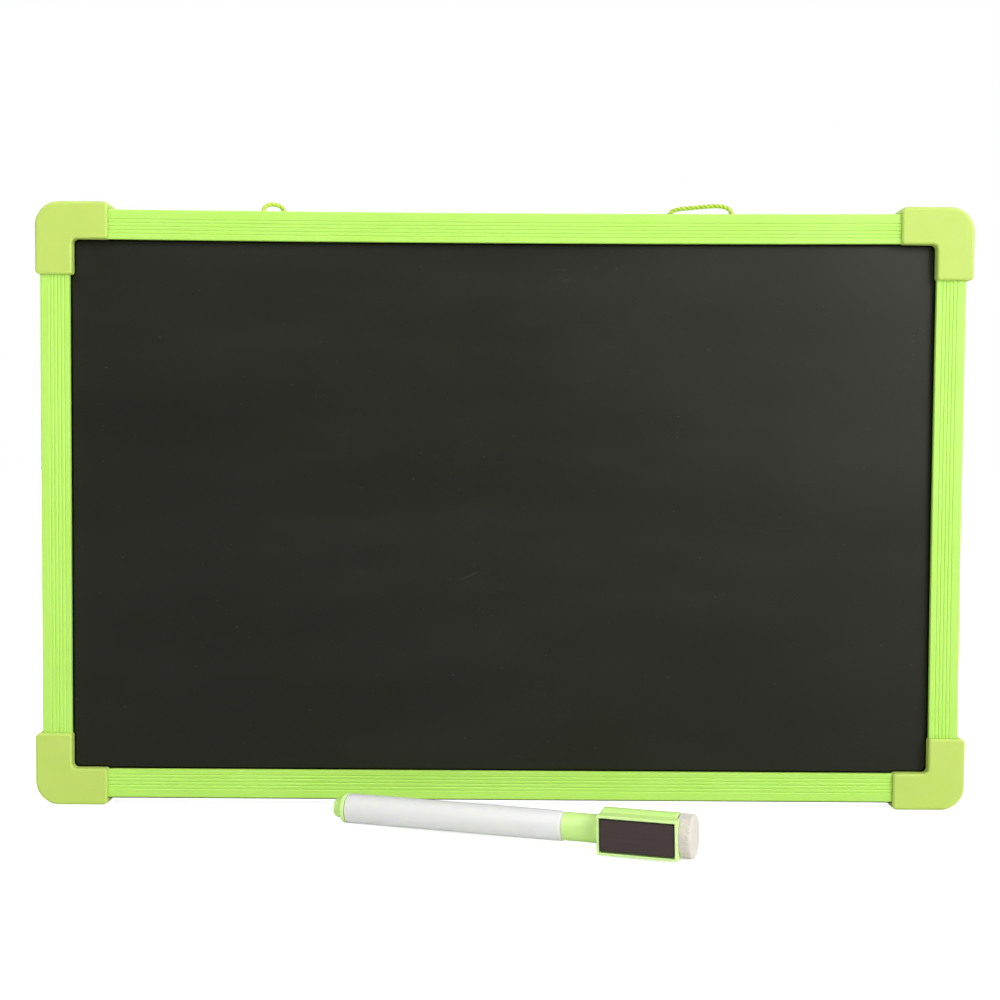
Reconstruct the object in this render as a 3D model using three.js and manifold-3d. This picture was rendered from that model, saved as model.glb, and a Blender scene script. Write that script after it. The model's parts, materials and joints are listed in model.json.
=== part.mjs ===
// A small hanging message board with its dry-erase marker.
//
// The board is a three-layer panel, black chalk steel in front and white dry-erase steel behind,
// held in four ribbed U-section rails whose ends plug into four moulded corner caps. A thin
// twisted cord is knotted inside the top rail and loops down behind the board. The marker lies
// on the floor in front. Its pull-off cap carries a magnet and a felt eraser.
//
// Millimetres, +Z up, the chalk face looks along -Y. The origin is on the floor at the centre
// of the footprint of the board and marker together.

import * as THREE from 'three';
import { mergeVertices } from 'three/addons/utils/BufferGeometryUtils.js';
import Module from 'manifold-3d';

const wasm = await Module();
wasm.setup();

// ---------------------------------------------------------------- driving dimensions

const BOARD = { width: 310, height: 200, depth: 11, front: 26.64 };

const CAP = {
  leg: 24,            // length of each arm, from the outside corner
  proud: 2.2,         // step from the cap's outside down to the rail
  innerProud: 0.6,    // step from the cap's inside edge down to the rail
  cornerRadius: 8,
  innerRadius: 1.6,
  legEndRadius: 2.5,
  edgeRadius: 0.9,    // round between the faces and the sides
  fit: 0.12,          // clearance round a rail in its socket
};

const RAIL = {
  face: 9.5,          // width of the visible face
  depth: 8.6,         // front face to back face
  web: 1.2,
  leg: 1.1,
  lip: 1.0,           // height of the lip that turns in at each leg's free edge
  lipGap: 0.4,        // lip to panel
  cornerRadius: 0.8,
  endInset: 13,       // rail end to the outside of the cap
  grooves: 5,
  firstGroove: 3.2,   // from the outer edge to the first groove's centre
  groovePitch: 1.18,
  grooveWidth: 0.5,
  grooveDepth: 0.22,
};

const PANEL = { recess: 2.1, edgeInset: 7, sheet: 0.3, glue: 0.05, slotFit: 0.15 };

const CORD = { diameter: 1.5, sides: 8, steps: 78, holes: { left: -80, right: 76 }, holeDiameter: 2.4, gap: 0.3 };
const KNOT = { radius: 1.5, height: 2.6 };

const MARKER = {
  tailX: -52.35,      // tail tip on the floor plan, from the board's centre line
  tailAhead: 17.6,    // and in front of the caps' front faces
  yaw: 20.6,          // degrees that the eraser end swings away from the board
};

// Distances along the marker are from the tip of the tail plug.
const PLUG = { tipRadius: 3.1, rimRadius: 4.7, rimStart: 3.05, rimEnd: 4.55, stem: 3.4, stemEnd: 9.5 };
const BARREL = { radius: 4.6, bore: 3.7, start: 4.85, end: 76.45 };
const RESERVOIR = { radius: 3.2, start: 10.2, end: 68.4 };
const NOSE = { start: 69.5, stem: 3.4, radius: 3.3, taperStart: 84.5, taperEnd: 87.6, tip: 2.1, end: 90, bore: 1.7 };
const NIB = { radius: 1.4, start: 68.7, end: 95.4 };
const SLEEVE = { radius: 4.25, bore: 3.6, start: 76.75, boreEnd: 98 };
const CUP = { radius: 6.65, start: 88.75, end: 112.1, pocket: 5.2, pocketStart: 99.2, edgeRadius: 0.7 };
const SEAL = { radius: 3.3, bore: 2.5, start: 88.4, end: 97.7, floor: 0.8 };
const MAGNET_SEAT = { height: 11.8, end: 113.1, face: 7.2, floor: 6.0, rim: 0.75, edgeRadius: 0.35 };
const MAGNET = { length: 22.3, height: 9.4, back: 6.1, face: 7.1 };
const FELT = { radius: 6.5, start: 112.4, end: 116.8, edgeRadius: 1.6, stem: 4.9, stemStart: 99.6 };

const ROUND_SIDES = 32;

// ---------------------------------------------------------------- materials

function finish(color, roughness, metalness = 0) {
  return new THREE.MeshStandardMaterial({ color, roughness, metalness });
}

const FINISH = {
  railPlastic: finish(0xb9f264, 0.45),
  capPlastic: finish(0xcfe874, 0.5),
  chalkCoat: finish(0x2c2d27, 0.7),
  whiteCoat: finish(0xf2f3f1, 0.2),
  hardboard: finish(0x9a7248, 0.9),
  cordFibre: finish(0xc3d94a, 0.85),
  barrelPlastic: finish(0xeaebe8, 0.4),
  limePlastic: finish(0xbdf573, 0.4),
  inkFibre: finish(0x2a2f3a, 0.95),
  nosePlastic: finish(0xe4e6e8, 0.4),
  nibFelt: finish(0x15171c, 0.9),
  sealPlastic: finish(0xdfe6ee, 0.5),
  magnetRubber: finish(0x4a3e3d, 0.8),
  eraserFelt: finish(0xe6e0d1, 1.0),
};

// ---------------------------------------------------------------- solids

function toSolid(geometry) {
  const bare = geometry.clone();
  bare.deleteAttribute('normal');
  bare.deleteAttribute('uv');
  const merged = mergeVertices(bare, 1e-4);
  return new wasm.Manifold(new wasm.Mesh({
    numProp: 3,
    vertProperties: new Float32Array(merged.attributes.position.array),
    triVerts: new Uint32Array(merged.index.array),
  }));
}

function toGeometry(solid) {
  const mesh = solid.getMesh();
  const geometry = new THREE.BufferGeometry();
  geometry.setAttribute('position', new THREE.BufferAttribute(mesh.vertProperties, 3));
  geometry.setIndex(new THREE.BufferAttribute(mesh.triVerts, 1));
  geometry.computeVertexNormals();
  return geometry;
}

function boxBetween(low, high) {
  const size = high.map((value, axis) => value - low[axis]);
  const middle = high.map((value, axis) => (value + low[axis]) / 2);
  return new THREE.BoxGeometry(...size).translate(...middle);
}

// A turned piece: [distance along +X, radius] pairs, closed on the axis or on themselves.
function turned(profile, sides = ROUND_SIDES) {
  const points = profile.map(([along, radius]) => new THREE.Vector2(radius, along));
  return new THREE.LatheGeometry(points, sides).rotateZ(-Math.PI / 2);
}

function tube(start, end, outer, inner) {
  return turned([[start, inner], [start, outer], [end, outer], [end, inner], [start, inner]]);
}

function rod(start, end, radius) {
  return turned([[start, 0], [start, radius], [end, radius], [end, 0]]);
}

// A quarter round of a turned profile, from one direction (degrees) to another.
function quarter(centreAlong, centreRadius, radius, from, to, steps = 3) {
  const points = [];
  for (let i = 0; i <= steps; i += 1) {
    const angle = THREE.MathUtils.degToRad(from + ((to - from) * i) / steps);
    points.push([centreAlong + radius * Math.cos(angle), centreRadius + radius * Math.sin(angle)]);
  }
  return points;
}

function place(name, geometry, material) {
  const mesh = new THREE.Mesh(geometry, material);
  mesh.name = name;
  return mesh;
}

// Turns a mesh so that its own X and Y run along two square directions, then moves it.
function orient(mesh, alongX, alongY, position) {
  const basis = new THREE.Matrix4().makeBasis(alongX, alongY, alongX.clone().cross(alongY));
  mesh.quaternion.setFromRotationMatrix(basis);
  mesh.position.copy(position);
  return mesh;
}

const RIGHT = new THREE.Vector3(1, 0, 0);
const LEFT = new THREE.Vector3(-1, 0, 0);
const BACK = new THREE.Vector3(0, 1, 0);
const UP = new THREE.Vector3(0, 0, 1);
const DOWN = new THREE.Vector3(0, 0, -1);

// ---------------------------------------------------------------- rails

// Half of the U section, from the middle of the web to the front lip: x runs inward from the
// outer side, y is the depth below the front face.
function railFrontHalf() {
  const points = [[0, RAIL.depth / 2], [0, RAIL.cornerRadius]];
  points.push([RAIL.cornerRadius * 0.3, RAIL.cornerRadius * 0.3]);
  points.push([RAIL.cornerRadius, 0]);
  for (let i = 0; i < RAIL.grooves; i += 1) {
    const centre = RAIL.firstGroove + i * RAIL.groovePitch;
    points.push([centre - RAIL.grooveWidth / 2, 0]);
    points.push([centre, RAIL.grooveDepth]);
    points.push([centre + RAIL.grooveWidth / 2, 0]);
  }
  const lipDepth = PANEL.recess - RAIL.lipGap;
  points.push([RAIL.face, 0], [RAIL.face, lipDepth]);
  points.push([RAIL.face - RAIL.lip, lipDepth], [RAIL.face - RAIL.lip, RAIL.leg]);
  points.push([RAIL.web, RAIL.leg], [RAIL.web, RAIL.depth / 2]);
  return points;
}

function railSection() {
  const front = railFrontHalf();
  const back = front.slice(1, -1).map(([x, y]) => [x, RAIL.depth - y]).reverse();
  return new THREE.Shape([...front, ...back].map(([x, y]) => new THREE.Vector2(x, y)));
}

function railGeometry(length) {
  return new THREE.ExtrudeGeometry(railSection(), { depth: length, bevelEnabled: false });
}

// The top rail's web has a hole near each quarter point for the cord, both a little left of even.
function drilledRailGeometry(length) {
  let solid = toSolid(railGeometry(length));
  for (const holeX of Object.values(CORD.holes)) {
    const drill = new THREE.CylinderGeometry(CORD.holeDiameter / 2, CORD.holeDiameter / 2, RAIL.web * 3, 16);
    drill.rotateZ(Math.PI / 2);
    drill.translate(RAIL.web / 2, RAIL.depth / 2, length / 2 + holeX);
    solid = solid.subtract(toSolid(drill));
  }
  return toGeometry(solid);
}

function makeRails() {
  const group = new THREE.Group();
  const across = BOARD.width - 2 * RAIL.endInset;
  const upright = BOARD.height - 2 * RAIL.endInset;
  const halfWidth = BOARD.width / 2;
  const faceY = (BOARD.depth - RAIL.depth) / 2;
  const rails = [
    ['bottom_rail', railGeometry(across), UP, [across / 2, faceY, CAP.proud]],
    ['top_rail', drilledRailGeometry(across), DOWN, [-across / 2, faceY, BOARD.height - CAP.proud]],
    ['left_rail', railGeometry(upright), RIGHT, [CAP.proud - halfWidth, faceY, RAIL.endInset]],
    ['right_rail', railGeometry(upright), LEFT, [halfWidth - CAP.proud, faceY, BOARD.height - RAIL.endInset]],
  ];
  for (const [name, geometry, inward, at] of rails) {
    group.add(orient(place(name, geometry, FINISH.railPlastic), inward, BACK, new THREE.Vector3(...at)));
  }
  return group;
}

// ---------------------------------------------------------------- corner caps

// L outline with its outside corner at the origin and an arm along each axis.
function capOutline() {
  const width = CAP.proud + RAIL.face + CAP.innerProud;
  const { leg, cornerRadius, innerRadius, legEndRadius } = CAP;
  const shape = new THREE.Shape();
  shape.moveTo(cornerRadius, 0);
  shape.lineTo(leg - legEndRadius, 0);
  shape.absarc(leg - legEndRadius, legEndRadius, legEndRadius, -Math.PI / 2, 0, false);
  shape.lineTo(leg, width);
  shape.lineTo(width + innerRadius, width);
  shape.absarc(width + innerRadius, width + innerRadius, innerRadius, -Math.PI / 2, -Math.PI, true);
  shape.lineTo(width, leg);
  shape.lineTo(legEndRadius, leg);
  shape.absarc(legEndRadius, leg - legEndRadius, legEndRadius, Math.PI / 2, Math.PI, false);
  shape.lineTo(0, cornerRadius);
  shape.absarc(cornerRadius, cornerRadius, cornerRadius, Math.PI, 1.5 * Math.PI, false);
  return shape;
}

// The moulding is hollow: a socket in each arm for its rail, and a slot for the panel's corner.
function capGeometry() {
  const body = new THREE.ExtrudeGeometry(capOutline(), {
    depth: BOARD.depth - 2 * CAP.edgeRadius,
    bevelThickness: CAP.edgeRadius,
    bevelSize: CAP.edgeRadius,
    bevelOffset: -CAP.edgeRadius,
    bevelSegments: 3,
    curveSegments: 5,
  }).translate(0, 0, CAP.edgeRadius);
  const past = CAP.leg + 1;
  const railFront = (BOARD.depth - RAIL.depth) / 2 - CAP.fit;
  const low = CAP.proud - CAP.fit;
  const high = CAP.proud + RAIL.face + CAP.fit;
  const stop = RAIL.endInset - CAP.fit;
  const slotEdge = PANEL.edgeInset - PANEL.slotFit;
  const slotFront = (BOARD.depth - RAIL.depth) / 2 + PANEL.recess - PANEL.slotFit;
  const cuts = [
    boxBetween([stop, low, railFront], [past, high, BOARD.depth - railFront]),
    boxBetween([low, stop, railFront], [high, past, BOARD.depth - railFront]),
    boxBetween([slotEdge, slotEdge, slotFront], [past, past, BOARD.depth - slotFront]),
  ];
  const hollow = cuts.reduce((solid, cut) => solid.subtract(toSolid(cut)), toSolid(body));
  return toGeometry(hollow);
}

function makeCaps() {
  const group = new THREE.Group();
  const geometry = capGeometry();
  const half = BOARD.width / 2;
  const corners = [
    ['corner_cap_bottom_left', RIGHT, UP, [-half, 0]],
    ['corner_cap_bottom_right', UP, LEFT, [half, 0]],
    ['corner_cap_top_right', LEFT, DOWN, [half, BOARD.height]],
    ['corner_cap_top_left', DOWN, RIGHT, [-half, BOARD.height]],
  ];
  for (const [name, firstArm, secondArm, [x, z]] of corners) {
    const cap = place(name, geometry, FINISH.capPlastic);
    group.add(orient(cap, firstArm, secondArm, new THREE.Vector3(x, BOARD.depth, z)));
  }
  return group;
}

// ---------------------------------------------------------------- panel

function panelLayer(name, front, thickness, material) {
  const { width, height } = BOARD;
  const inset = PANEL.edgeInset;
  const low = [inset - width / 2, front, inset];
  const high = [width / 2 - inset, front + thickness, height - inset];
  return place(name, boxBetween(low, high), material);
}

function makePanel() {
  const group = new THREE.Group();
  const front = (BOARD.depth - RAIL.depth) / 2 + PANEL.recess;
  const back = BOARD.depth - front;
  const coreFront = front + PANEL.sheet + PANEL.glue;
  group.add(panelLayer('chalk_sheet', front, PANEL.sheet, FINISH.chalkCoat));
  group.add(panelLayer('core_board', coreFront, BOARD.depth - 2 * coreFront, FINISH.hardboard));
  group.add(panelLayer('dry_erase_sheet', back - PANEL.sheet, PANEL.sheet, FINISH.whiteCoat));
  return group;
}

// ---------------------------------------------------------------- hanging cord

// Route of the cord's centre line, from the left hole to the right one: x from the board's
// centre, y behind the caps' front faces, z above the floor.
const CORD_ROUTE = [
  [-80.0, 5.5, 196.6],
  [-79.75, 5.65, 198.3],
  [-79.2, 6.15, 199.5],
  [-78.4, 6.85, 200.25],
  [-77.3, 7.75, 200.6],
  [-75.9, 8.9, 200.6],
  [-74.8, 9.75, 200.25],
  [-74.0, 10.45, 199.5],
  [-73.45, 10.9, 198.3],
  [-73.1, 11.1, 196.5],
  [-71.6, 11.0, 190.4],
  [-68.2, 10.9, 181.0],
  [-62.9, 10.9, 169.6],
  [-55.8, 10.9, 157.8],
  [-46.6, 10.9, 146.9],
  [-35.6, 10.9, 138.0],
  [-23.0, 10.9, 132.0],
  [-9.4, 10.9, 129.9],
  [4.2, 10.9, 132.0],
  [16.8, 10.9, 138.0],
  [27.8, 10.9, 146.9],
  [37.0, 10.9, 157.8],
  [44.1, 10.9, 169.6],
  [49.5, 10.9, 181.0],
  [53.1, 11.0, 190.4],
  [54.3, 11.1, 194.3],
  [55.0, 11.1, 196.9],
  [55.5, 11.0, 198.4],
  [56.6, 10.8, 199.6],
  [58.4, 10.4, 200.25],
  [61.5, 9.6, 200.5],
  [64.8, 8.7, 200.7],
  [68.0, 7.8, 200.85],
  [70.6, 7.05, 200.85],
  [72.7, 6.45, 200.6],
  [74.4, 5.95, 199.95],
  [75.5, 5.65, 198.6],
  [76.0, 5.5, 196.6],
];

function cordGeometry() {
  const route = new THREE.CatmullRomCurve3(CORD_ROUTE.map((point) => new THREE.Vector3(...point)));
  const section = new THREE.Shape();
  for (let i = 0; i < CORD.sides; i += 1) {
    const angle = (2 * Math.PI * i) / CORD.sides;
    const at = [Math.cos(angle) * CORD.diameter / 2, Math.sin(angle) * CORD.diameter / 2];
    if (i === 0) section.moveTo(...at);
    else section.lineTo(...at);
  }
  section.closePath();
  return new THREE.ExtrudeGeometry(section, { steps: CORD.steps, extrudePath: route, bevelEnabled: false });
}

// The overhand knot that stops each end, as the plain bead that it fills under the web.
function knotGeometry() {
  const middle = KNOT.height / 2;
  const profile = [[0, 0], [0, KNOT.radius * 0.55], [middle * 0.5, KNOT.radius * 0.92], [middle, KNOT.radius]];
  profile.push([middle * 1.5, KNOT.radius * 0.92], [KNOT.height, KNOT.radius * 0.55], [KNOT.height, 0]);
  return turned(profile, 12).rotateY(Math.PI / 2);
}

function makeCord() {
  const group = new THREE.Group();
  group.add(place('hanging_cord', cordGeometry(), FINISH.cordFibre));
  const knotTop = BOARD.height - CAP.proud - RAIL.web - CORD.gap;
  for (const [side, holeX] of Object.entries(CORD.holes)) {
    const knot = place(`cord_knot_${side}`, knotGeometry(), FINISH.cordFibre);
    knot.position.set(holeX, BOARD.depth / 2, knotTop);
    group.add(knot);
  }
  return group;
}

// ---------------------------------------------------------------- marker

function tailPlugGeometry() {
  return turned([
    [0, 0],
    ...quarter(0.7, PLUG.tipRadius - 0.7, 0.7, 180, 90, 2),
    [PLUG.rimStart, PLUG.rimRadius - 0.3],
    [PLUG.rimStart + 0.3, PLUG.rimRadius],
    [PLUG.rimEnd, PLUG.rimRadius],
    [PLUG.rimEnd, PLUG.stem],
    [PLUG.stemEnd, PLUG.stem],
    [PLUG.stemEnd, 0],
  ]);
}

// The nose plugs the barrel's front end and holds the nib in its bore.
function noseGeometry() {
  return turned([
    [NOSE.start, NOSE.bore],
    [NOSE.start, NOSE.stem],
    [BARREL.end, NOSE.stem],
    [BARREL.end, NOSE.radius],
    [NOSE.taperStart, NOSE.radius],
    [NOSE.taperEnd, NOSE.tip],
    [NOSE.end, NOSE.tip],
    [NOSE.end, NOSE.bore],
    [NOSE.start, NOSE.bore],
  ]);
}

function nibGeometry() {
  return turned([
    [NIB.start, 0],
    [NIB.start, NIB.radius],
    ...quarter(NIB.end - NIB.radius, 0, NIB.radius, 90, 0, 4).slice(0, -1),
    [NIB.end, 0],
  ], 20);
}

function makePen() {
  const group = new THREE.Group();
  group.add(place('tail_plug', tailPlugGeometry(), FINISH.limePlastic));
  group.add(place('marker_barrel', tube(BARREL.start, BARREL.end, BARREL.radius, BARREL.bore), FINISH.barrelPlastic));
  group.add(place('ink_reservoir', rod(RESERVOIR.start, RESERVOIR.end, RESERVOIR.radius), FINISH.inkFibre));
  group.add(place('nib_holder', noseGeometry(), FINISH.nosePlastic));
  group.add(place('nib', nibGeometry(), FINISH.nibFelt));
  return group;
}

// The sleeve that covers the nose, and the wider cup that holds the eraser, as one turned shell.
function capShellBody() {
  const round = CUP.edgeRadius;
  return turned([
    [SLEEVE.start, SLEEVE.bore],
    [SLEEVE.start, SLEEVE.radius],
    [CUP.start, SLEEVE.radius],
    ...quarter(CUP.start + round, CUP.radius - round, round, 180, 90),
    [CUP.end, CUP.radius],
    [CUP.end, CUP.pocket],
    [CUP.pocketStart, CUP.pocket],
    [CUP.pocketStart, 0],
    [SLEEVE.boreEnd, 0],
    [SLEEVE.boreEnd, SLEEVE.bore],
    [SLEEVE.start, SLEEVE.bore],
  ]);
}

// The magnet's seat stands on the cup's side, along -Y, and overhangs the eraser a little.
function magnetSeatBlock() {
  const { height, end, face, edgeRadius } = MAGNET_SEAT;
  const outline = new THREE.Shape();
  const length = end - CUP.start;
  outline.moveTo(0, -height / 2);
  outline.lineTo(length, -height / 2);
  outline.lineTo(length, height / 2);
  outline.lineTo(0, height / 2);
  outline.closePath();
  const block = new THREE.ExtrudeGeometry(outline, {
    depth: face - edgeRadius,
    bevelThickness: edgeRadius,
    bevelSize: edgeRadius,
    bevelOffset: -edgeRadius,
    bevelSegments: 1,
  });
  return block.rotateX(Math.PI / 2).translate(CUP.start, 0, 0);
}

function capShellGeometry() {
  const { height, end, face, floor, rim } = MAGNET_SEAT;
  const pocketHalf = height / 2 - rim;
  const recess = boxBetween([CUP.start + rim, -face - 1, -pocketHalf], [end - rim, -floor, pocketHalf]);
  const sleeveBore = rod(SLEEVE.start - 1, SLEEVE.boreEnd, SLEEVE.bore);
  const eraserPocket = rod(CUP.pocketStart, end + 1, CUP.pocket);
  const eraserClearance = rod(CUP.end, end + 1, FELT.radius + 0.3);
  const joined = toSolid(capShellBody()).add(toSolid(magnetSeatBlock()));
  const cuts = [recess, sleeveBore, eraserPocket, eraserClearance];
  return toGeometry(cuts.reduce((solid, cut) => solid.subtract(toSolid(cut)), joined));
}

// A soft cup inside the sleeve that shuts round the nib.
function sealGeometry() {
  return turned([
    [SEAL.start, SEAL.bore],
    [SEAL.start, SEAL.radius],
    [SEAL.end, SEAL.radius],
    [SEAL.end, 0],
    [SEAL.end - SEAL.floor, 0],
    [SEAL.end - SEAL.floor, SEAL.bore],
    [SEAL.start, SEAL.bore],
  ]);
}

function magnetGeometry() {
  const middle = (CUP.start + MAGNET_SEAT.end) / 2;
  const low = [middle - MAGNET.length / 2, -MAGNET.face, -MAGNET.height / 2];
  const high = [middle + MAGNET.length / 2, -MAGNET.back, MAGNET.height / 2];
  return boxBetween(low, high);
}

// A felt plug whose head is as wide as the cup.
function feltGeometry() {
  const round = FELT.edgeRadius;
  return turned([
    [FELT.stemStart, 0],
    [FELT.stemStart, FELT.stem],
    [FELT.start, FELT.stem],
    [FELT.start, FELT.radius],
    ...quarter(FELT.end - round, FELT.radius - round, round, 90, 0),
    [FELT.end, 0],
  ]);
}

function makeMarkerCap() {
  const group = new THREE.Group();
  group.add(place('cap_shell', capShellGeometry(), FINISH.limePlastic));
  group.add(place('cap_seal', sealGeometry(), FINISH.sealPlastic));
  group.add(place('magnet', magnetGeometry(), FINISH.magnetRubber));
  group.add(place('eraser_felt', feltGeometry(), FINISH.eraserFelt));
  return group;
}

// The marker lies on the tail plug's rim and on the cup's edge, so it pitches up a little.
function makeMarker() {
  const marker = new THREE.Group();
  const pitch = Math.atan2(CUP.radius - PLUG.rimRadius, CUP.start + CUP.edgeRadius - PLUG.rimStart - 0.3);
  const rimAxisHeight = PLUG.rimRadius / Math.cos(pitch) - (PLUG.rimStart + 0.3) * Math.tan(pitch);
  marker.rotation.order = 'ZYX';
  marker.rotation.z = -THREE.MathUtils.degToRad(MARKER.yaw);
  marker.rotation.y = -pitch;
  marker.position.set(MARKER.tailX, -MARKER.tailAhead, rimAxisHeight);
  marker.add(makePen(), makeMarkerCap());
  return marker;
}

// ---------------------------------------------------------------- the set

const set = new THREE.Group();
set.position.y = BOARD.front;
set.add(makeRails(), makeCaps(), makePanel(), makeCord(), makeMarker());

export default set;
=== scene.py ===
"""A small hanging chalkboard and its magnetic marker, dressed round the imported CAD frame.

The board is a steel-faced panel in four ribbed plastic rails with moulded corner caps and a
twisted hanging cord. The marker lies on the floor in front of it. Everything is in metres in the
row frame: +Z up, the chalk face looks along -Y.
"""

import json
import logging
import math
from dataclasses import dataclass, field
from enum import Enum
from typing import Optional, Sequence, Union

import bmesh
import bpy
import numpy as np
from mathutils import Matrix, Vector


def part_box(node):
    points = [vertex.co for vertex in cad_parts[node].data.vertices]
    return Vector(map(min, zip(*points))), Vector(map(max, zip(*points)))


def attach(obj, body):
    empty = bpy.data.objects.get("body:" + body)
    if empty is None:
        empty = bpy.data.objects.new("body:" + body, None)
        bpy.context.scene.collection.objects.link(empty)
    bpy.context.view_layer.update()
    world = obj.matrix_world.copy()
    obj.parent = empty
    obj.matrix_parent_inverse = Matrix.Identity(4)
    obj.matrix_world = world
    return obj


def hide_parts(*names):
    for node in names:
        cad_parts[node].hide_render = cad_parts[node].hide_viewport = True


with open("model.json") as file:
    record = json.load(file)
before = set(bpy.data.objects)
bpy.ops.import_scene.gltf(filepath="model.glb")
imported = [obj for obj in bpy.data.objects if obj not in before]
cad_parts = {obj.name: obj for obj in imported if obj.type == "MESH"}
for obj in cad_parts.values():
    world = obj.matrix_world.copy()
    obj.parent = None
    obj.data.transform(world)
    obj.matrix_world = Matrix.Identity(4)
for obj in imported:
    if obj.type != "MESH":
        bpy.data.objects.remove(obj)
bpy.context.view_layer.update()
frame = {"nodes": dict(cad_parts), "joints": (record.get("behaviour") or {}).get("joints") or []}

LOG = logging.getLogger("chalkboard")

MM = 0.001
WELD = 2e-7               # points closer than this are one point
RENDER_LEVELS = 1
FLAT_FACE_WEIGHT = 80     # how much a large face outweighs a small one in the shading
DUST_COLOUR = (0.75, 0.74, 0.7)
TRANSLUCENCY = 0.3        # share of the light that thin plastic lets in
LIGHT_SPREAD = (0.9, 1.0, 0.4)    # how far red, green and blue spread in it, of its depth

Colour = tuple[float, float, float]
Paint = Union[Colour, bpy.types.NodeSocket]
Amount = Union[float, bpy.types.NodeSocket]


# ---------------------------------------------------------------- surfaces on grids


@dataclass(frozen=True)
class Grid:
    """A surface worked out on a grid.

    points[row, column] is a point in metres. wrap_rows and wrap_columns say which way the surface
    closes on itself. across and along are the lengths, in metres, that the piece's own UV map
    takes for its columns and its rows.
    """

    points: np.ndarray
    wrap_rows: bool = False
    wrap_columns: bool = False
    across: float = 1.0
    along: float = 1.0


def grid_quads(grid: Grid, first: int) -> tuple[np.ndarray, np.ndarray]:
    """Faces of a grid, each joining a point to the next row and the next column.

    Args:
        grid: the surface.
        first: index of its first point in the mesh.

    Returns:
        Vertex indices (faces, 4) and UV coordinates (faces, 4, 2).
    """
    rows, columns = grid.points.shape[:2]
    row = np.arange(rows if grid.wrap_rows else rows - 1)
    column = np.arange(columns if grid.wrap_columns else columns - 1)
    r, c = (a.ravel() for a in np.meshgrid(row, column, indexing="ij"))
    corner_rows = np.stack([r, r, r + 1, r + 1], 1)
    corner_columns = np.stack([c, c + 1, c + 1, c], 1)
    index = first + (corner_rows % rows) * columns + corner_columns % columns
    u = corner_columns / len(column) * grid.across
    v = corner_rows / len(row) * grid.along
    return index, np.stack([u, v], -1)


def make_piece(
    name: str,
    grids: Sequence[Grid],
    lids: Sequence[np.ndarray] = (),
    crease: float = 40.0,
) -> bpy.types.Object:
    """One closed mesh from grids and flat lids, welded where their points meet.

    Args:
        name: the object's name.
        grids: the surfaces.
        lids: closed rings of points, each filled with one flat face.
        crease: edges sharper than this many degrees stay sharp.

    Returns:
        The object, at the origin, with its UV map named "run".
    """
    points, faces, uvs, total = [], [], [], 0
    for grid in grids:
        index, uv = grid_quads(grid, total)
        points.append(grid.points.reshape(-1, 3))
        faces.extend(index.tolist())
        uvs.append(uv.reshape(-1, 2))
        total += len(points[-1])
    for lid in lids:
        points.append(lid)
        faces.append(list(range(total, total + len(lid))))
        uvs.append(lid[:, [0, 2]])
        total += len(lid)
    mesh = bpy.data.meshes.new(name)
    mesh.from_pydata(np.concatenate(points).tolist(), [], faces)
    layer = mesh.uv_layers.new(name="run")
    layer.data.foreach_set("uv", np.concatenate(uvs).astype(np.float32).ravel())
    weld_and_face_out(mesh)
    smooth(mesh, crease)
    piece = bpy.data.objects.new(name, mesh)
    bpy.context.scene.collection.objects.link(piece)
    return piece


def weld_and_face_out(mesh: bpy.types.Mesh) -> None:
    """Merges double points, drops faces with no area and turns every face outward."""
    work = bmesh.new()
    work.from_mesh(mesh)
    bmesh.ops.remove_doubles(work, verts=work.verts, dist=WELD)
    bmesh.ops.dissolve_degenerate(work, edges=work.edges, dist=WELD)
    bmesh.ops.recalc_face_normals(work, faces=work.faces)
    work.to_mesh(mesh)
    work.free()


def smooth(mesh: bpy.types.Mesh, crease: float) -> None:
    """Shades a mesh smooth, apart from edges sharper than crease degrees."""
    mesh.polygons.foreach_set("use_smooth", np.ones(len(mesh.polygons), bool))
    mesh.set_sharp_from_angle(angle=math.radians(crease))
    mesh.update()


def cut(piece: bpy.types.Object, tools: Sequence[bpy.types.Object], mode: str = "DIFFERENCE") -> None:
    """Cuts or joins closed tool meshes to a piece, applies the result and removes the tools.

    Args:
        piece: the mesh object that is kept.
        tools: the closed meshes that are taken away from it or added to it.
        mode: the boolean modifier's operation.
    """
    for tool in tools:
        modifier = piece.modifiers.new("cut", "BOOLEAN")
        modifier.operation = mode
        modifier.solver = "EXACT"
        modifier.object = tool
        bake_modifiers(piece)
        bpy.data.objects.remove(tool)


def bake_modifiers(piece: bpy.types.Object) -> None:
    """Replaces a piece's mesh with the one that its modifiers make."""
    graph = bpy.context.evaluated_depsgraph_get()
    graph.update()
    mesh = bpy.data.meshes.new_from_object(piece.evaluated_get(graph))
    mesh.name = piece.data.name
    piece.modifiers.clear()
    piece.data = mesh


def even_normals(piece: bpy.types.Object) -> None:
    """Lets large flat faces set the shading at their edges, so that rounds meet them smoothly."""
    modifier = piece.modifiers.new("even normals", "WEIGHTED_NORMAL")
    modifier.keep_sharp = True
    modifier.weight = FLAT_FACE_WEIGHT


def block(name: str, low: Sequence[float], high: Sequence[float]) -> bpy.types.Object:
    """A plain closed box, used only as a cutting tool."""
    corners = np.array([low, high], float)
    ring = np.array([[0, 0], [1, 0], [1, 1], [0, 1]])
    x, y = corners[ring[:, 0], 0], corners[ring[:, 1], 1]
    levels = [np.stack([x, y, np.full(4, z)], 1) for z in corners[:, 2]]
    side = Grid(np.stack(levels), wrap_columns=True)
    return make_piece(name, [side], lids=levels)


def arc(centre: tuple[float, float], radius: float, start: float, end: float, count: int) -> np.ndarray:
    """Points (count, 2) on a circle from start to end degrees: centre + radius (cos, sin)."""
    angle = np.radians(np.linspace(start, end, count))
    return np.array(centre) + radius * np.stack([np.cos(angle), np.sin(angle)], 1)


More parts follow.
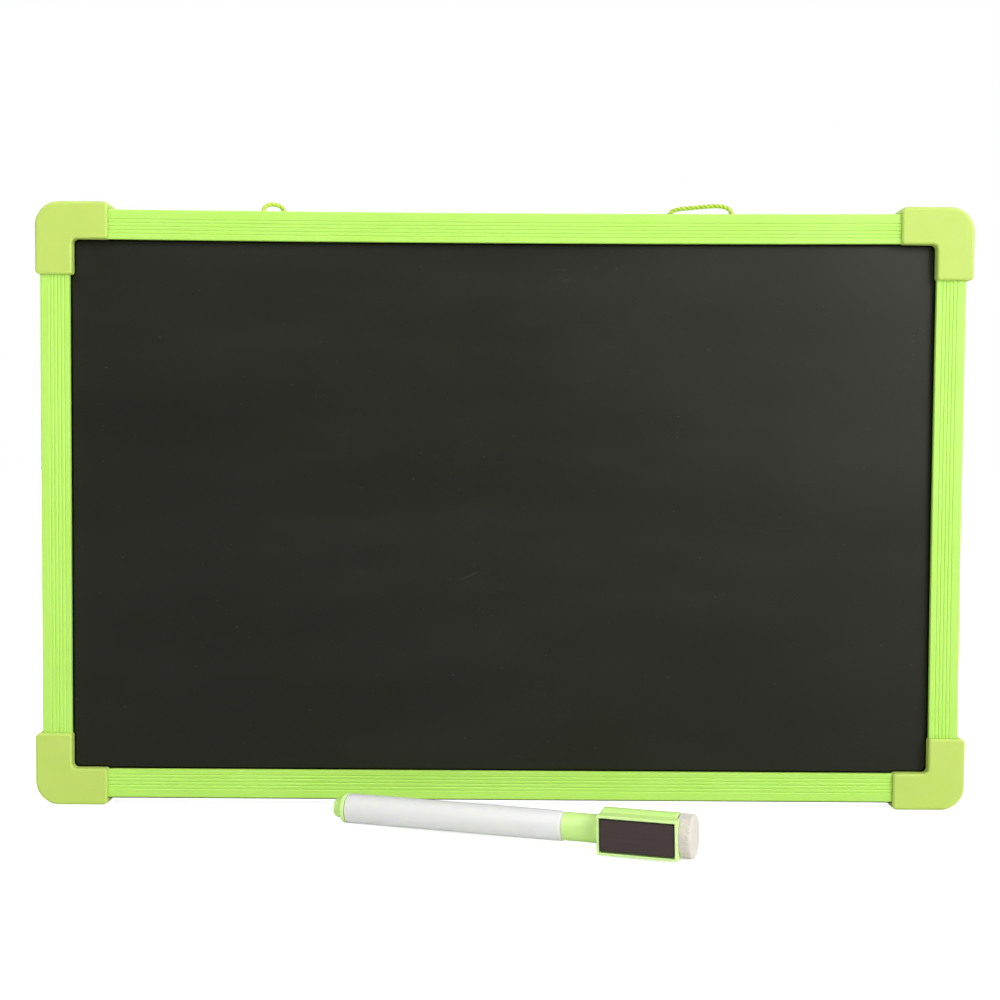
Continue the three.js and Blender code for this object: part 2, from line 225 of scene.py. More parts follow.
def turned(profile: np.ndarray, sides: int = 96) -> Grid:
    """A turned surface: (along, radius) pairs swung about the X axis.

    The point at angle t is (along, radius cos t, radius sin t). A profile that starts and ends on
    the axis closes there; one that returns to its start closes on itself.
    """
    turn = np.linspace(0, 2 * math.pi, sides, endpoint=False)
    along, radius = profile[:, :1], profile[:, 1:]
    points = np.stack([
        np.broadcast_to(along, (len(profile), sides)),
        radius * np.cos(turn),
        radius * np.sin(turn),
    ], -1)
    length = float(np.linalg.norm(np.diff(profile, axis=0), axis=1).sum())
    return Grid(points, wrap_columns=True, across=2 * math.pi * float(profile[:, 1].max()), along=length)


def softened(corners: Sequence[tuple[float, float, float]], steps: int = 6) -> np.ndarray:
    """A profile whose corners are rounded.

    Each corner is (along, radius, round). A round corner is replaced by a quadratic curve that
    starts and ends at that distance from it, which is close to an arc of that radius for a
    square corner.
    """
    points = np.array([c[:2] for c in corners], float)
    parts = [points[:1]]
    t = np.linspace(0, 1, steps + 1)[:, None]
    for before, here, after, (_, _, round_) in zip(points, points[1:], points[2:], corners[1:]):
        if round_ <= 0:
            parts.append(here[None])
            continue
        start = here + (before - here) / np.linalg.norm(before - here) * round_
        end = here + (after - here) / np.linalg.norm(after - here) * round_
        parts.append((1 - t) ** 2 * start + 2 * t * (1 - t) * here + t ** 2 * end)
    parts.append(points[-1:])
    return np.concatenate(parts)


def travelling_frames(path: np.ndarray) -> tuple[np.ndarray, np.ndarray]:
    """Two directions square to a path at each point, which turn with it and don't spin.

    Each step takes the last direction and removes the part that lies along the new tangent.
    """
    tangent = np.gradient(path, axis=0)
    tangent /= np.linalg.norm(tangent, axis=1, keepdims=True)
    seed = np.array([0.0, 1.0, 0.0]) if abs(tangent[0, 1]) < 0.9 else np.array([1.0, 0.0, 0.0])
    side = np.empty_like(path)
    for i, t in enumerate(tangent):
        seed = seed - t * (seed @ t)
        seed /= np.linalg.norm(seed)
        side[i] = seed
    return side, np.cross(tangent, side)


def through(points: np.ndarray, spacing: float, steps: int = 24) -> np.ndarray:
    """A smooth Catmull-Rom line through given points, its own points evenly spaced.

    Between points b and c, with neighbours a and d, the line is
    b + t (c - a)/2 + t^2 (2a - 5b + 4c - d)/2 + t^3 (3b - a - 3c + d)/2, in so many steps.
    """
    padded = np.concatenate([2 * points[:1] - points[1:2], points, 2 * points[-1:] - points[-2:-1]])
    a, b, c, d = padded[:-3, None], padded[1:-2, None], padded[2:-1, None], padded[3:, None]
    t = np.linspace(0, 1, steps, endpoint=False)[None, :, None]
    line = b + t * (c - a) / 2 + t ** 2 * (2 * a - 5 * b + 4 * c - d) / 2
    line = (line + t ** 3 * (3 * b - a - 3 * c + d) / 2).reshape(-1, 3)
    line = np.concatenate([line, points[-1:]])
    run = np.concatenate([[0.0], np.cumsum(np.linalg.norm(np.diff(line, axis=0), axis=1))])
    even = np.linspace(0, run[-1], max(2, int(round(run[-1] / spacing)) + 1))
    return np.stack([np.interp(even, run, line[:, k]) for k in range(3)], 1)


def line_length(path: np.ndarray) -> float:
    """Length of a line of points, in metres."""
    return float(np.linalg.norm(np.diff(path, axis=0), axis=1).sum())


# ---------------------------------------------------------------- shader building


class Sheet:
    """Builds shader nodes in one tree with few words."""

    MIX_FIRST, MIX_SECOND, MIX_RESULT = 6, 7, 2    # the colour sockets of a Mix node

    def __init__(self, tree: bpy.types.NodeTree) -> None:
        """Keeps the tree that the nodes go in."""
        self.tree = tree

    def add(self, kind: str, inputs: Optional[dict] = None, **settings: object) -> bpy.types.Node:
        """Adds a node.

        Args:
            kind: the node's type, without the ShaderNode prefix.
            inputs: values or output sockets, by input name or index.
            settings: properties of the node itself.

        Returns:
            The node.
        """
        node = self.tree.nodes.new("ShaderNode" + kind)
        for key, value in settings.items():
            setattr(node, key, value)
        return self.feed(node, inputs or {})

    def feed(self, node: bpy.types.Node, inputs: dict) -> bpy.types.Node:
        """Links sockets, or sets plain values, to a node's own inputs.

        Args:
            node: the node.
            inputs: values or output sockets, by input name or index.

        Returns:
            The node.
        """
        for key, value in inputs.items():
            if isinstance(value, bpy.types.NodeSocket):
                self.tree.links.new(value, node.inputs[key])
            else:
                node.inputs[key].default_value = value
        return node

    def math(self, operation: str, *values: Amount) -> bpy.types.NodeSocket:
        """Output of a Math node on numbers or sockets."""
        return self.add("Math", dict(enumerate(values)), operation=operation).outputs[0]

    def noise(self, vector: bpy.types.NodeSocket, scale: float, detail: float = 2.0,
              rough: float = 0.5) -> bpy.types.NodeSocket:
        """Noise of about 1 / scale metres, from 0 to 1."""
        inputs = {"Vector": vector, "Scale": scale, "Detail": detail, "Roughness": rough}
        return self.add("TexNoise", inputs).outputs[0]

    def remap(self, value: bpy.types.NodeSocket, low: float, high: float,
              to_low: float = 0.0, to_high: float = 1.0) -> bpy.types.NodeSocket:
        """Value moved from the range low..high to to_low..to_high, and held inside it."""
        inputs = {"Value": value, "From Min": low, "From Max": high, "To Min": to_low, "To Max": to_high}
        return self.add("MapRange", inputs, clamp=True).outputs[0]

    def mix(self, factor: Amount, first: Paint, second: Paint) -> bpy.types.NodeSocket:
        """Colour between first and second."""
        paints = (p if isinstance(p, bpy.types.NodeSocket) else (*p, 1.0) for p in (first, second))
        inputs = {0: factor, **dict(zip((self.MIX_FIRST, self.MIX_SECOND), paints))}
        return self.add("Mix", inputs, data_type="RGBA").outputs[self.MIX_RESULT]

    def stretched(self, vector: bpy.types.NodeSocket, scale: Sequence[float]) -> bpy.types.NodeSocket:
        """Coordinates scaled by a different number along each axis."""
        return self.add("Mapping", {"Vector": vector, "Scale": tuple(scale)}).outputs[0]


class Effect(Enum):
    """Shared effects, each one node group."""

    GRAIN = "moulded grain"
    EDGE = "edge light"
    DUST = "settled dust"
    SCUFFS = "fine scuffs"


class EffectLibrary:
    """The shared node groups. Each is built once and placed in materials with its own values."""

    def __init__(self) -> None:
        """Builds the four groups."""
        self.groups = {
            Effect.GRAIN: self._grain(),
            Effect.EDGE: self._edge(),
            Effect.DUST: self._dust(),
            Effect.SCUFFS: self._scuffs(),
        }

    @staticmethod
    def _start(effect: Effect, inputs: dict, outputs: Sequence[str]) -> tuple:
        """A group with its sockets.

        Args:
            effect: which group.
            inputs: default value by name; a Vector default of None makes a vector socket.
            outputs: names of the float outputs.

        Returns:
            The group, a Sheet on it, its input node and its output node.
        """
        tree = bpy.data.node_groups.new(effect.value, "ShaderNodeTree")
        for name, value in inputs.items():
            kind = "NodeSocketVector" if value is None else "NodeSocketFloat"
            socket = tree.interface.new_socket(name=name, in_out="INPUT", socket_type=kind)
            if value is not None:
                socket.default_value = value
        for name in outputs:
            tree.interface.new_socket(name=name, in_out="OUTPUT", socket_type="NodeSocketFloat")
        return tree, Sheet(tree), tree.nodes.new("NodeGroupInput"), tree.nodes.new("NodeGroupOutput")

    def _grain(self) -> bpy.types.NodeTree:
        """Spark-eroded mould texture on slow sink marks: Height, 0 to 1 + Sink, and Tone, 0 to 1."""
        inputs = {"Vector": None, "Grain Scale": 3000.0, "Sink Scale": 160.0, "Sink": 0.4}
        tree, sheet, given, out = self._start(Effect.GRAIN, inputs, ["Height", "Tone"])
        place = given.outputs["Vector"]
        fine = sheet.add("TexNoise", {"Vector": place, "Scale": given.outputs["Grain Scale"]})
        slow = sheet.add("TexNoise", {"Vector": place, "Scale": given.outputs["Sink Scale"]})
        share = sheet.math("MULTIPLY", slow.outputs[0], given.outputs["Sink"])
        tree.links.new(sheet.math("ADD", fine.outputs[0], share), out.inputs["Height"])
        tree.links.new(sheet.remap(slow.outputs[0], 0.3, 0.7), out.inputs["Tone"])
        return tree

    def _edge(self) -> bpy.types.NodeTree:
        """Mask of convex and concave edges: how far a rounded normal leans from the true one."""
        tree, sheet, given, out = self._start(Effect.EDGE, {"Radius": 0.0006, "Gain": 3.0}, ["Mask"])
        rounded = sheet.add("Bevel", {"Radius": given.outputs["Radius"]}, samples=6).outputs[0]
        true = sheet.add("NewGeometry").outputs["Normal"]
        likeness = sheet.add("VectorMath", {0: rounded, 1: true}, operation="DOT_PRODUCT").outputs["Value"]
        lean = sheet.math("SUBTRACT", 1.0, likeness)
        mask = sheet.math("MULTIPLY", lean, given.outputs["Gain"])
        tree.links.new(sheet.remap(mask, 0.0, 1.0), out.inputs["Mask"])
        return tree

    def _dust(self) -> bpy.types.NodeTree:
        """Specks and soft patches of dust, thicker on surfaces that face up."""
        inputs = {"Vector": None, "Scale": 1500.0, "Amount": 0.3}
        tree, sheet, given, out = self._start(Effect.DUST, inputs, ["Mask"])
        place = given.outputs["Vector"]
        specks = sheet.add("TexNoise", {"Vector": place, "Scale": given.outputs["Scale"]})
        patches = sheet.noise(place, 60.0, 3.0)
        up = sheet.add("SeparateXYZ", {0: sheet.add("NewGeometry").outputs["Normal"]}).outputs["Z"]
        lean = sheet.remap(up, 0.0, 1.0, 0.35, 1.0)
        dots = sheet.remap(specks.outputs[0], 0.56, 0.72)
        both = sheet.math("MULTIPLY", sheet.math("MULTIPLY", dots, patches), lean)
        tree.links.new(sheet.math("MULTIPLY", both, given.outputs["Amount"]), out.inputs["Mask"])
        return tree

    def _scuffs(self) -> bpy.types.NodeTree:
        """Hairline scratches: thin bands of a stretched, bent noise, broken up by patches."""
        inputs = {"Vector": None, "Scale": 220.0, "Amount": 0.5}
        tree, sheet, given, out = self._start(Effect.SCUFFS, inputs, ["Mask"])
        place = given.outputs["Vector"]
        bend = sheet.add("TexNoise", {"Vector": place, "Scale": 25.0}).outputs["Color"]
        moved = sheet.add("VectorMath", {0: bend, 1: (0.02, 0.02, 0.02)}, operation="MULTIPLY")
        warped = sheet.add("VectorMath", {0: place, 1: moved.outputs[0]})
        lines = sheet.add("TexNoise", {
            "Vector": sheet.stretched(warped.outputs[0], (0.35, 1.0, 3.4)),
            "Scale": given.outputs["Scale"], "Detail": 1.0,
        })
        ridge = sheet.math("ABSOLUTE", sheet.math("SUBTRACT", lines.outputs[0], 0.5))
        hair = sheet.remap(ridge, 0.0, 0.006, 1.0, 0.0)
        patches = sheet.remap(sheet.noise(place, 45.0, 2.0), 0.5, 0.7)
        broken = sheet.math("MULTIPLY", hair, patches)
        tree.links.new(sheet.math("MULTIPLY", broken, given.outputs["Amount"]), out.inputs["Mask"])
        return tree

    def place(self, sheet: Sheet, effect: Effect, inputs: dict) -> bpy.types.Node:
        """Puts one of the groups in a material.

        Args:
            sheet: the material's sheet.
            effect: which group.
            inputs: its values or sockets.

        Returns:
            The group node.
        """
        node = sheet.tree.nodes.new("ShaderNodeGroup")
        node.node_tree = self.groups[effect]
        return sheet.feed(node, inputs)


EFFECTS = EffectLibrary()


def new_material(name: str) -> tuple[bpy.types.Material, Sheet, bpy.types.Node]:
    """An empty node material.

    Args:
        name: the material's name.

    Returns:
        The material, a Sheet on its tree and its Principled shader.
    """
    material = bpy.data.materials.new(name)
    material.use_nodes = True
    tree = material.node_tree
    return material, Sheet(tree), tree.nodes["Principled BSDF"]


def bump(sheet: Sheet, shader: bpy.types.Node, height: bpy.types.NodeSocket, depth: float) -> None:
    """Feeds a height, whose unit is depth metres, to the shader's normal."""
    node = sheet.add("Bump", {"Strength": 1.0, "Distance": depth, "Height": height})
    sheet.tree.links.new(node.outputs[0], shader.inputs["Normal"])


def let_light_in(shader: bpy.types.Node, depth: float) -> None:
    """Gives thin plastic a little translucency, which light enters to about depth metres."""
    shader.inputs["Subsurface Weight"].default_value = TRANSLUCENCY
    shader.inputs["Subsurface Scale"].default_value = depth
    shader.inputs["Subsurface Radius"].default_value = LIGHT_SPREAD


@dataclass(frozen=True)
class MouldedPlastic:
    """Injection-moulded plastic with mould grain and sink marks, its edges and rounds lightened as a
    painted highlight.
    """

    name: str
    colour: Colour
    tone: Colour
    edge: Colour
    roughness: float = 0.45
    grain_scale: float = 3200.0
    grain_depth: float = 0.000012
    sink: float = 0.6
    sink_scale: float = 120.0
    edge_radius: float = 0.0008
    edge_gain: float = 3.5
    dust: float = 0.12
    specular: float = 0.5
    depth_of_light: float = 1.2 * MM

    def build(self) -> bpy.types.Material:
        """Makes the material.

        Returns:
            A material on Object coordinates.
        """
        material, sheet, shader = new_material(self.name)
        place = sheet.add("TexCoord").outputs["Object"]
        grain = EFFECTS.place(sheet, Effect.GRAIN, {
            "Vector": place, "Grain Scale": self.grain_scale,
            "Sink Scale": self.sink_scale, "Sink": self.sink,
        })
        edge = EFFECTS.place(sheet, Effect.EDGE, {"Radius": self.edge_radius, "Gain": self.edge_gain})
        dust = EFFECTS.place(sheet, Effect.DUST, {"Vector": place, "Amount": self.dust})
        body = sheet.mix(grain.outputs["Tone"], self.colour, self.tone)
        # Painted highlight: edges and rounds are lightened towards the edge colour.
        rimmed = sheet.mix(edge.outputs["Mask"], body, self.edge)
        dusty = sheet.mix(dust.outputs["Mask"], rimmed, DUST_COLOUR)
        gloss = sheet.remap(grain.outputs["Tone"], 0.0, 1.0, self.roughness - 0.05, self.roughness + 0.06)
        sheet.feed(shader, {"Base Color": dusty, "Roughness": gloss, "Specular IOR Level": self.specular})
        bump(sheet, shader, grain.outputs["Height"], self.grain_depth)
        let_light_in(shader, self.depth_of_light)
        return material


@dataclass(frozen=True)
class ExtrudedPlastic:
    """Extruded rail plastic: long die lines down the piece's own UV map, and painted shade along its lowest
    edge, next to the floor.
    """

    name: str
    colour: Colour
    line: Colour
    # The edge colour serves both as random warmer patches and as the painted highlight on edges and rounds.
    edge: Colour
    roughness: float = 0.45
    specular: float = 0.8
    # Painted shade: the colour that the lowest edge of each rail is darkened to, where it meets the floor.
    underside_shade: Colour = (0.04, 0.06, 0.015)
    underside_shade_heights: tuple[float, float] = (2.4 * MM, 2.85 * MM)
    die_scale: float = 2600.0
    die_stretch: tuple[float, float, float] = (1.0, 0.012, 1.0)
    die_depth: float = 0.000008
    edge_radius: float = 0.0004
    edge_gain: float = 2.5
    dust: float = 0.1
    depth_of_light: float = 0.9 * MM

    def build(self) -> bpy.types.Material:
        """Makes the material.

        Returns:
            A material on the UV map "run", across the profile in U and along the rail in V.
        """
        material, sheet, shader = new_material(self.name)
        run = sheet.add("UVMap", uv_map="run").outputs[0]
        place = sheet.add("TexCoord").outputs["Object"]
        streaks = sheet.noise(sheet.stretched(run, self.die_stretch), self.die_scale, 3.0, 0.6)
        slow = sheet.noise(place, 40.0, 2.0)
        edge = EFFECTS.place(sheet, Effect.EDGE, {"Radius": self.edge_radius, "Gain": self.edge_gain})
        dust = EFFECTS.place(sheet, Effect.DUST, {"Vector": place, "Amount": self.dust})
        tone = sheet.mix(sheet.remap(streaks, 0.3, 0.7), self.colour, self.line)
        warmed = sheet.mix(sheet.remap(slow, 0.35, 0.65, 0.0, 0.25), tone, self.edge)
        # Painted highlight: rounds and edges are lightened towards the edge colour, at half the mask's
        # strength.
        rimmed = sheet.mix(sheet.math("MULTIPLY", edge.outputs["Mask"], 0.5), warmed, self.edge)
        dusty = sheet.mix(dust.outputs["Mask"], rimmed, DUST_COLOUR)
        height = sheet.add("SeparateXYZ", {0: place}).outputs["Z"]
        # Painted shade: the rail darkens over its lowest half millimetre or so, just above the floor.
        with_underside_shade = sheet.mix(sheet.remap(height, *self.underside_shade_heights, 1.0, 0.0), dusty, self.underside_shade)
        gloss = sheet.remap(streaks, 0.2, 0.8, self.roughness - 0.06, self.roughness + 0.08)
        sheet.feed(shader, {"Base Color": with_underside_shade, "Roughness": gloss, "Specular IOR Level": self.specular})
        bump(sheet, shader, streaks, self.die_depth)
        let_light_in(shader, self.depth_of_light)
        return material


@dataclass(frozen=True)
class ChalkCoat:
    """Matt chalk paint on steel: fine tooth, slow cloudiness, a little old chalk wiped in.

    Along the frame's edge the sheet carries painted shade: where the frame closes it in, its colour goes
    near black and its reflection is taken away.
    """

    name: str = "chalk_coat"
    colour: Colour = (0.0024, 0.0027, 0.001)
    cloud: Colour = (0.0036, 0.0041, 0.0018)
    chalk: Colour = (0.2, 0.195, 0.18)
    roughness: float = 0.45
    tooth_depth: float = 0.00001
    wipe_stretch: tuple[float, float, float] = (0.25, 1.0, 1.0)
    specular: float = 0.62
    tint: tuple[float, float, float, float] = (1.0, 1.0, 0.86, 1.0)
    # Painted shade: the near-black colour along the frame's edge, where the frame closes the sheet in.
    joint: Colour = (0.0006, 0.0008, 0.0003)
    shade_reach: float = 1.2 * MM

    def build(self) -> bpy.types.Material:
        """Makes the material.

        Returns:
            A material on Object coordinates.
        """
        material, sheet, shader = new_material(self.name)
        place = sheet.add("TexCoord").outputs["Object"]
        tooth = sheet.noise(place, 4200.0, 3.0, 0.65)
        clouds = sheet.noise(place, 14.0, 4.0, 0.55)
        wipe = sheet.noise(sheet.stretched(place, self.wipe_stretch), 55.0, 5.0, 0.6)
        specks = sheet.remap(sheet.noise(place, 900.0, 1.0), 0.73, 0.78)
        scuffs = EFFECTS.place(sheet, Effect.SCUFFS, {"Vector": place, "Scale": 120.0, "Amount": 0.22})
        body = sheet.mix(sheet.remap(clouds, 0.35, 0.65), self.colour, self.cloud)
        film = sheet.remap(wipe, 0.5, 0.85, 0.0, 0.012)
        lines = sheet.math("MULTIPLY", scuffs.outputs["Mask"], 0.3)
        crumbs = sheet.math("MULTIPLY", specks, 0.16)
        marks = sheet.math("MAXIMUM", sheet.math("MAXIMUM", film, lines), crumbs)
        marked = sheet.mix(marks, body, self.chalk)
        # Painted shade: where the frame closes the sheet in, the coat goes near black, and as metal on
        # black it loses its reflection too.
        open_sky = sheet.add("AmbientOcclusion", {"Distance": self.shade_reach}, samples=12).outputs["AO"]
        joint = sheet.remap(open_sky, 0.68, 0.84, 1.0, 0.0)
        darkened = sheet.mix(joint, marked, self.joint)
        gloss = sheet.remap(wipe, 0.3, 0.8, self.roughness - 0.03, self.roughness + 0.07)
        sheet.feed(shader, {
            "Base Color": darkened, "Roughness": gloss, "Metallic": joint,
            "Specular IOR Level": self.specular, "Specular Tint": self.tint,
        })
        bump(sheet, shader, tooth, self.tooth_depth)
        return material


@dataclass(frozen=True)
class DryEraseCoat:
    """Gloss white lacquer on steel, with wiping marks and a faint ghost of old ink."""

    name: str = "dry_erase_coat"
    colour: Colour = (0.8, 0.81, 0.8)
    ghost: Colour = (0.55, 0.57, 0.62)
    roughness: float = 0.16
    most_ghost: float = 0.16
    wipe_stretch: tuple[float, float, float] = (0.3, 1.0, 1.1)
    peel_depth: float = 0.000006

    def build(self) -> bpy.types.Material:
        """Makes the material.

        Returns:
            A material on Object coordinates.
        """
        material, sheet, shader = new_material(self.name)
        place = sheet.add("TexCoord").outputs["Object"]
        swept = sheet.stretched(place, self.wipe_stretch)
        smear = sheet.remap(sheet.noise(swept, 48.0, 5.0, 0.6), 0.52, 0.82, 0.0, self.most_ghost)
        orange_peel = sheet.noise(place, 520.0, 2.0)
        scuffs = EFFECTS.place(sheet, Effect.SCUFFS, {"Vector": place, "Scale": 90.0, "Amount": 0.5})
        body = sheet.mix(smear, self.colour, self.ghost)
        marked = sheet.mix(sheet.math("MULTIPLY", scuffs.outputs["Mask"], 0.35), body, self.ghost)
        gloss = sheet.remap(smear, 0.0, self.most_ghost, self.roughness, self.roughness + 0.14)
        sheet.feed(shader, {
            "Base Color": marked, "Roughness": gloss, "Coat Weight": 0.4, "Coat Roughness": 0.08,
        })
        bump(sheet, shader, orange_peel, self.peel_depth)
        return material


@dataclass(frozen=True)
class Fibre:
    """Felt, pressed fibre or hardboard: a tangle of short strands on Object coordinates."""

    name: str
    colour: Colour
    shade: Colour
    scale: float = 1400.0
    depth: float = 0.00012
    roughness: float = 0.95
    sheen: float = 0.3
    speck: Optional[Colour] = None

    def build(self) -> bpy.types.Material:
        """Makes the material.

        Returns:
            A material on Object coordinates.
        """
        material, sheet, shader = new_material(self.name)
        place = sheet.add("TexCoord").outputs["Object"]
        first = sheet.noise(sheet.stretched(place, (1.0, 0.35, 0.6)), self.scale, 4.0, 0.7)
        second = sheet.noise(sheet.stretched(place, (0.4, 1.0, 1.0)), self.scale * 0.8, 4.0, 0.7)
        tangle = sheet.math("MAXIMUM", first, second)
        body = sheet.mix(sheet.remap(tangle, 0.42, 0.72), self.shade, self.colour)
        if self.speck:
            dots = sheet.remap(sheet.noise(place, self.scale * 0.45, 1.0), 0.66, 0.74)
            body = sheet.mix(dots, body, self.speck)
        gloss = sheet.remap(tangle, 0.3, 0.8, self.roughness - 0.08, self.roughness)
        sheet.feed(shader, {
            "Base Color": body, "Roughness": gloss, "Specular IOR Level": 0.2,
            "Sheen Weight": self.sheen, "Sheen Roughness": 0.6,
        })
        bump(sheet, shader, tangle, self.depth)
        return material


@dataclass(frozen=True)
class TwistedYarn:
    """Cord yarn: fine fibres that run with each strand, read from the cord's own UV map, and painted shade
    in the valleys between strands.
    """

    name: str
    colour: Colour
    shade: Colour
    valley_shade: Colour
    fibre_depth: float = 0.00006

    def build(self) -> bpy.types.Material:
        """Makes the material.

        Returns:
            A material on the UV map "run", round the cord in U and along it in V.
        """
        material, sheet, shader = new_material(self.name)
        run = sheet.add("UVMap", uv_map="run").outputs[0]
        fibres = sheet.noise(sheet.stretched(run, (1.0, 0.16, 1.0)), 5200.0, 4.0, 0.7)
        tufts = sheet.noise(run, 900.0, 3.0)
        valley = sheet.add("Attribute", attribute_name="valley").outputs["Fac"]
        body = sheet.mix(sheet.remap(fibres, 0.35, 0.7), self.shade, self.colour)
        # Painted shade: the valleys between strands are darkened towards near black.
        shaded = sheet.mix(sheet.remap(valley, 0.35, 1.0), body, self.valley_shade)
        sheet.feed(shader, {
            "Base Color": shaded, "Roughness": 0.8, "Sheen Weight": 0.35, "Sheen Roughness": 0.5,
        })
        bump(sheet, shader, sheet.math("ADD", fibres, tufts), self.fibre_depth)
        return material


@dataclass(frozen=True)
class FerriteRubber:
    """Flexible magnet sheet: brown-black ferrite powder in rubber, with fine calender lines, and painted
    shade that darkens its edges nearly to black.
    """

    name: str = "magnet_rubber"
    colour: Colour = (0.046, 0.028, 0.027)
    fleck: Colour = (0.068, 0.045, 0.042)
    edge: Colour = (0.003, 0.002, 0.0015)
    edge_radius: float = 0.0006
    edge_gain: float = 14.0
    powder_depth: float = 0.00001

    def build(self) -> bpy.types.Material:
        """Makes the material.

        Returns:
            A material on Object coordinates.
        """
        material, sheet, shader = new_material(self.name)
        place = sheet.add("TexCoord").outputs["Object"]
        powder = sheet.noise(place, 5200.0, 3.0, 0.7)
        lines = sheet.noise(sheet.stretched(place, (0.15, 0.15, 4.0)), 600.0, 2.0)
        edge = EFFECTS.place(sheet, Effect.EDGE, {"Radius": self.edge_radius, "Gain": self.edge_gain})
        body = sheet.mix(sheet.remap(powder, 0.45, 0.75), self.colour, self.fleck)
        # Painted shade: the cut edges are darkened nearly to black, as if in the shadow of the gap round
        # the magnet.
        rimmed = sheet.mix(edge.outputs["Mask"], body, self.edge)
        gloss = sheet.remap(lines, 0.3, 0.7, 0.62, 0.78)
        sheet.feed(shader, {"Base Color": rimmed, "Roughness": gloss})
        bump(sheet, shader, sheet.math("ADD", powder, lines), self.powder_depth)
        return material


LIME_RAIL = ExtrudedPlastic("rail_plastic", (0.45, 0.77, 0.108), (0.43, 0.74, 0.095), (0.51, 0.82, 0.165))
YELLOW_CAP = MouldedPlastic(
    "cap_plastic", (0.49, 0.64, 0.12), (0.475, 0.63, 0.106), (0.55, 0.71, 0.17),
    roughness=0.5, specular=0.65,
)
MARKER_LIME = MouldedPlastic(
    "marker_lime", (0.64, 0.96, 0.3), (0.62, 0.94, 0.28), (0.8, 0.98, 0.58),
    roughness=0.34, grain_depth=0.000006, dust=0.06,
)
MARKER_WHITE = MouldedPlastic(
    "marker_white", (0.79, 0.795, 0.775), (0.775, 0.78, 0.765), (0.84, 0.84, 0.83),
    roughness=0.36, grain_depth=0.000005, sink=0.3, dust=0.1,
)
SEAL_PLASTIC = MouldedPlastic("seal_plastic", (0.7, 0.75, 0.8), (0.66, 0.72, 0.78), (0.8, 0.84, 0.88))
ERASER_FELT = Fibre(
    "eraser_felt", (0.73, 0.67, 0.6), (0.6, 0.555, 0.49), scale=2400.0, speck=(0.53, 0.49, 0.43),
)
NIB_FIBRE = Fibre("nib_fibre", (0.016, 0.017, 0.02), (0.006, 0.006, 0.008), scale=2600.0, depth=0.00003)
INK_FIBRE = Fibre("ink_fibre", (0.05, 0.055, 0.07), (0.02, 0.022, 0.03), scale=1800.0, depth=0.00008)
HARDBOARD = Fibre(
    "hardboard", (0.36, 0.2, 0.085), (0.2, 0.1, 0.04), scale=700.0, depth=0.0001, sheen=0.0,
    speck=(0.1, 0.05, 0.02),
)
CORD_YARN = TwistedYarn("cord_fibre", (0.62, 0.8, 0.08), (0.45, 0.62, 0.05), (0.13, 0.2, 0.01))


def dress(piece: bpy.types.Object, body: str, slot: str, material: bpy.types.Material,
          *stands_for: str) -> bpy.types.Object:
    """Gives a finished piece its material and its body, and reports it.

    Args:
        piece: the finished object.
        body: the CAD body that it rides on.
        slot: the record's material slot; not used.
        material: its material.
        stands_for: the CAD nodes that it replaces.

    Returns:
        The piece.
    """
    piece.data.materials.clear()
    piece.data.materials.append(material)
    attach(piece, body)
    if stands_for:
        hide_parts(*stands_for)
    LOG.info("%s rides on %s, %d faces", piece.name, body, len(piece.data.polygons))
    return piece


def redress(node: str, material: bpy.types.Material) -> None:
    """Gives a carried-over CAD node a finished material."""
    mesh = frame["nodes"][node].data
    mesh.materials.clear()
    mesh.materials.append(material)
    LOG.info("%s keeps its CAD shape", node)


# ---------------------------------------------------------------- the board


@dataclass
class Board:
    """Driving sizes of the board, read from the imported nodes, that its sub-assemblies share."""

    front: float = field(init=False)
    back: float = field(init=False)
    half_width: float = field(init=False)
    height: float = field(init=False)

    def __post_init__(self) -> None:
        """Reads the boxes of two opposite corner caps."""
        low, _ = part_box("corner_cap_bottom_left")
        _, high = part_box("corner_cap_top_right")
        self.front, self.back = low.y, high.y
        self.half_width, self.height = high.x, high.z

    @property
    def depth(self) -> float:
        """Thickness over the corner caps."""
        return self.back - self.front


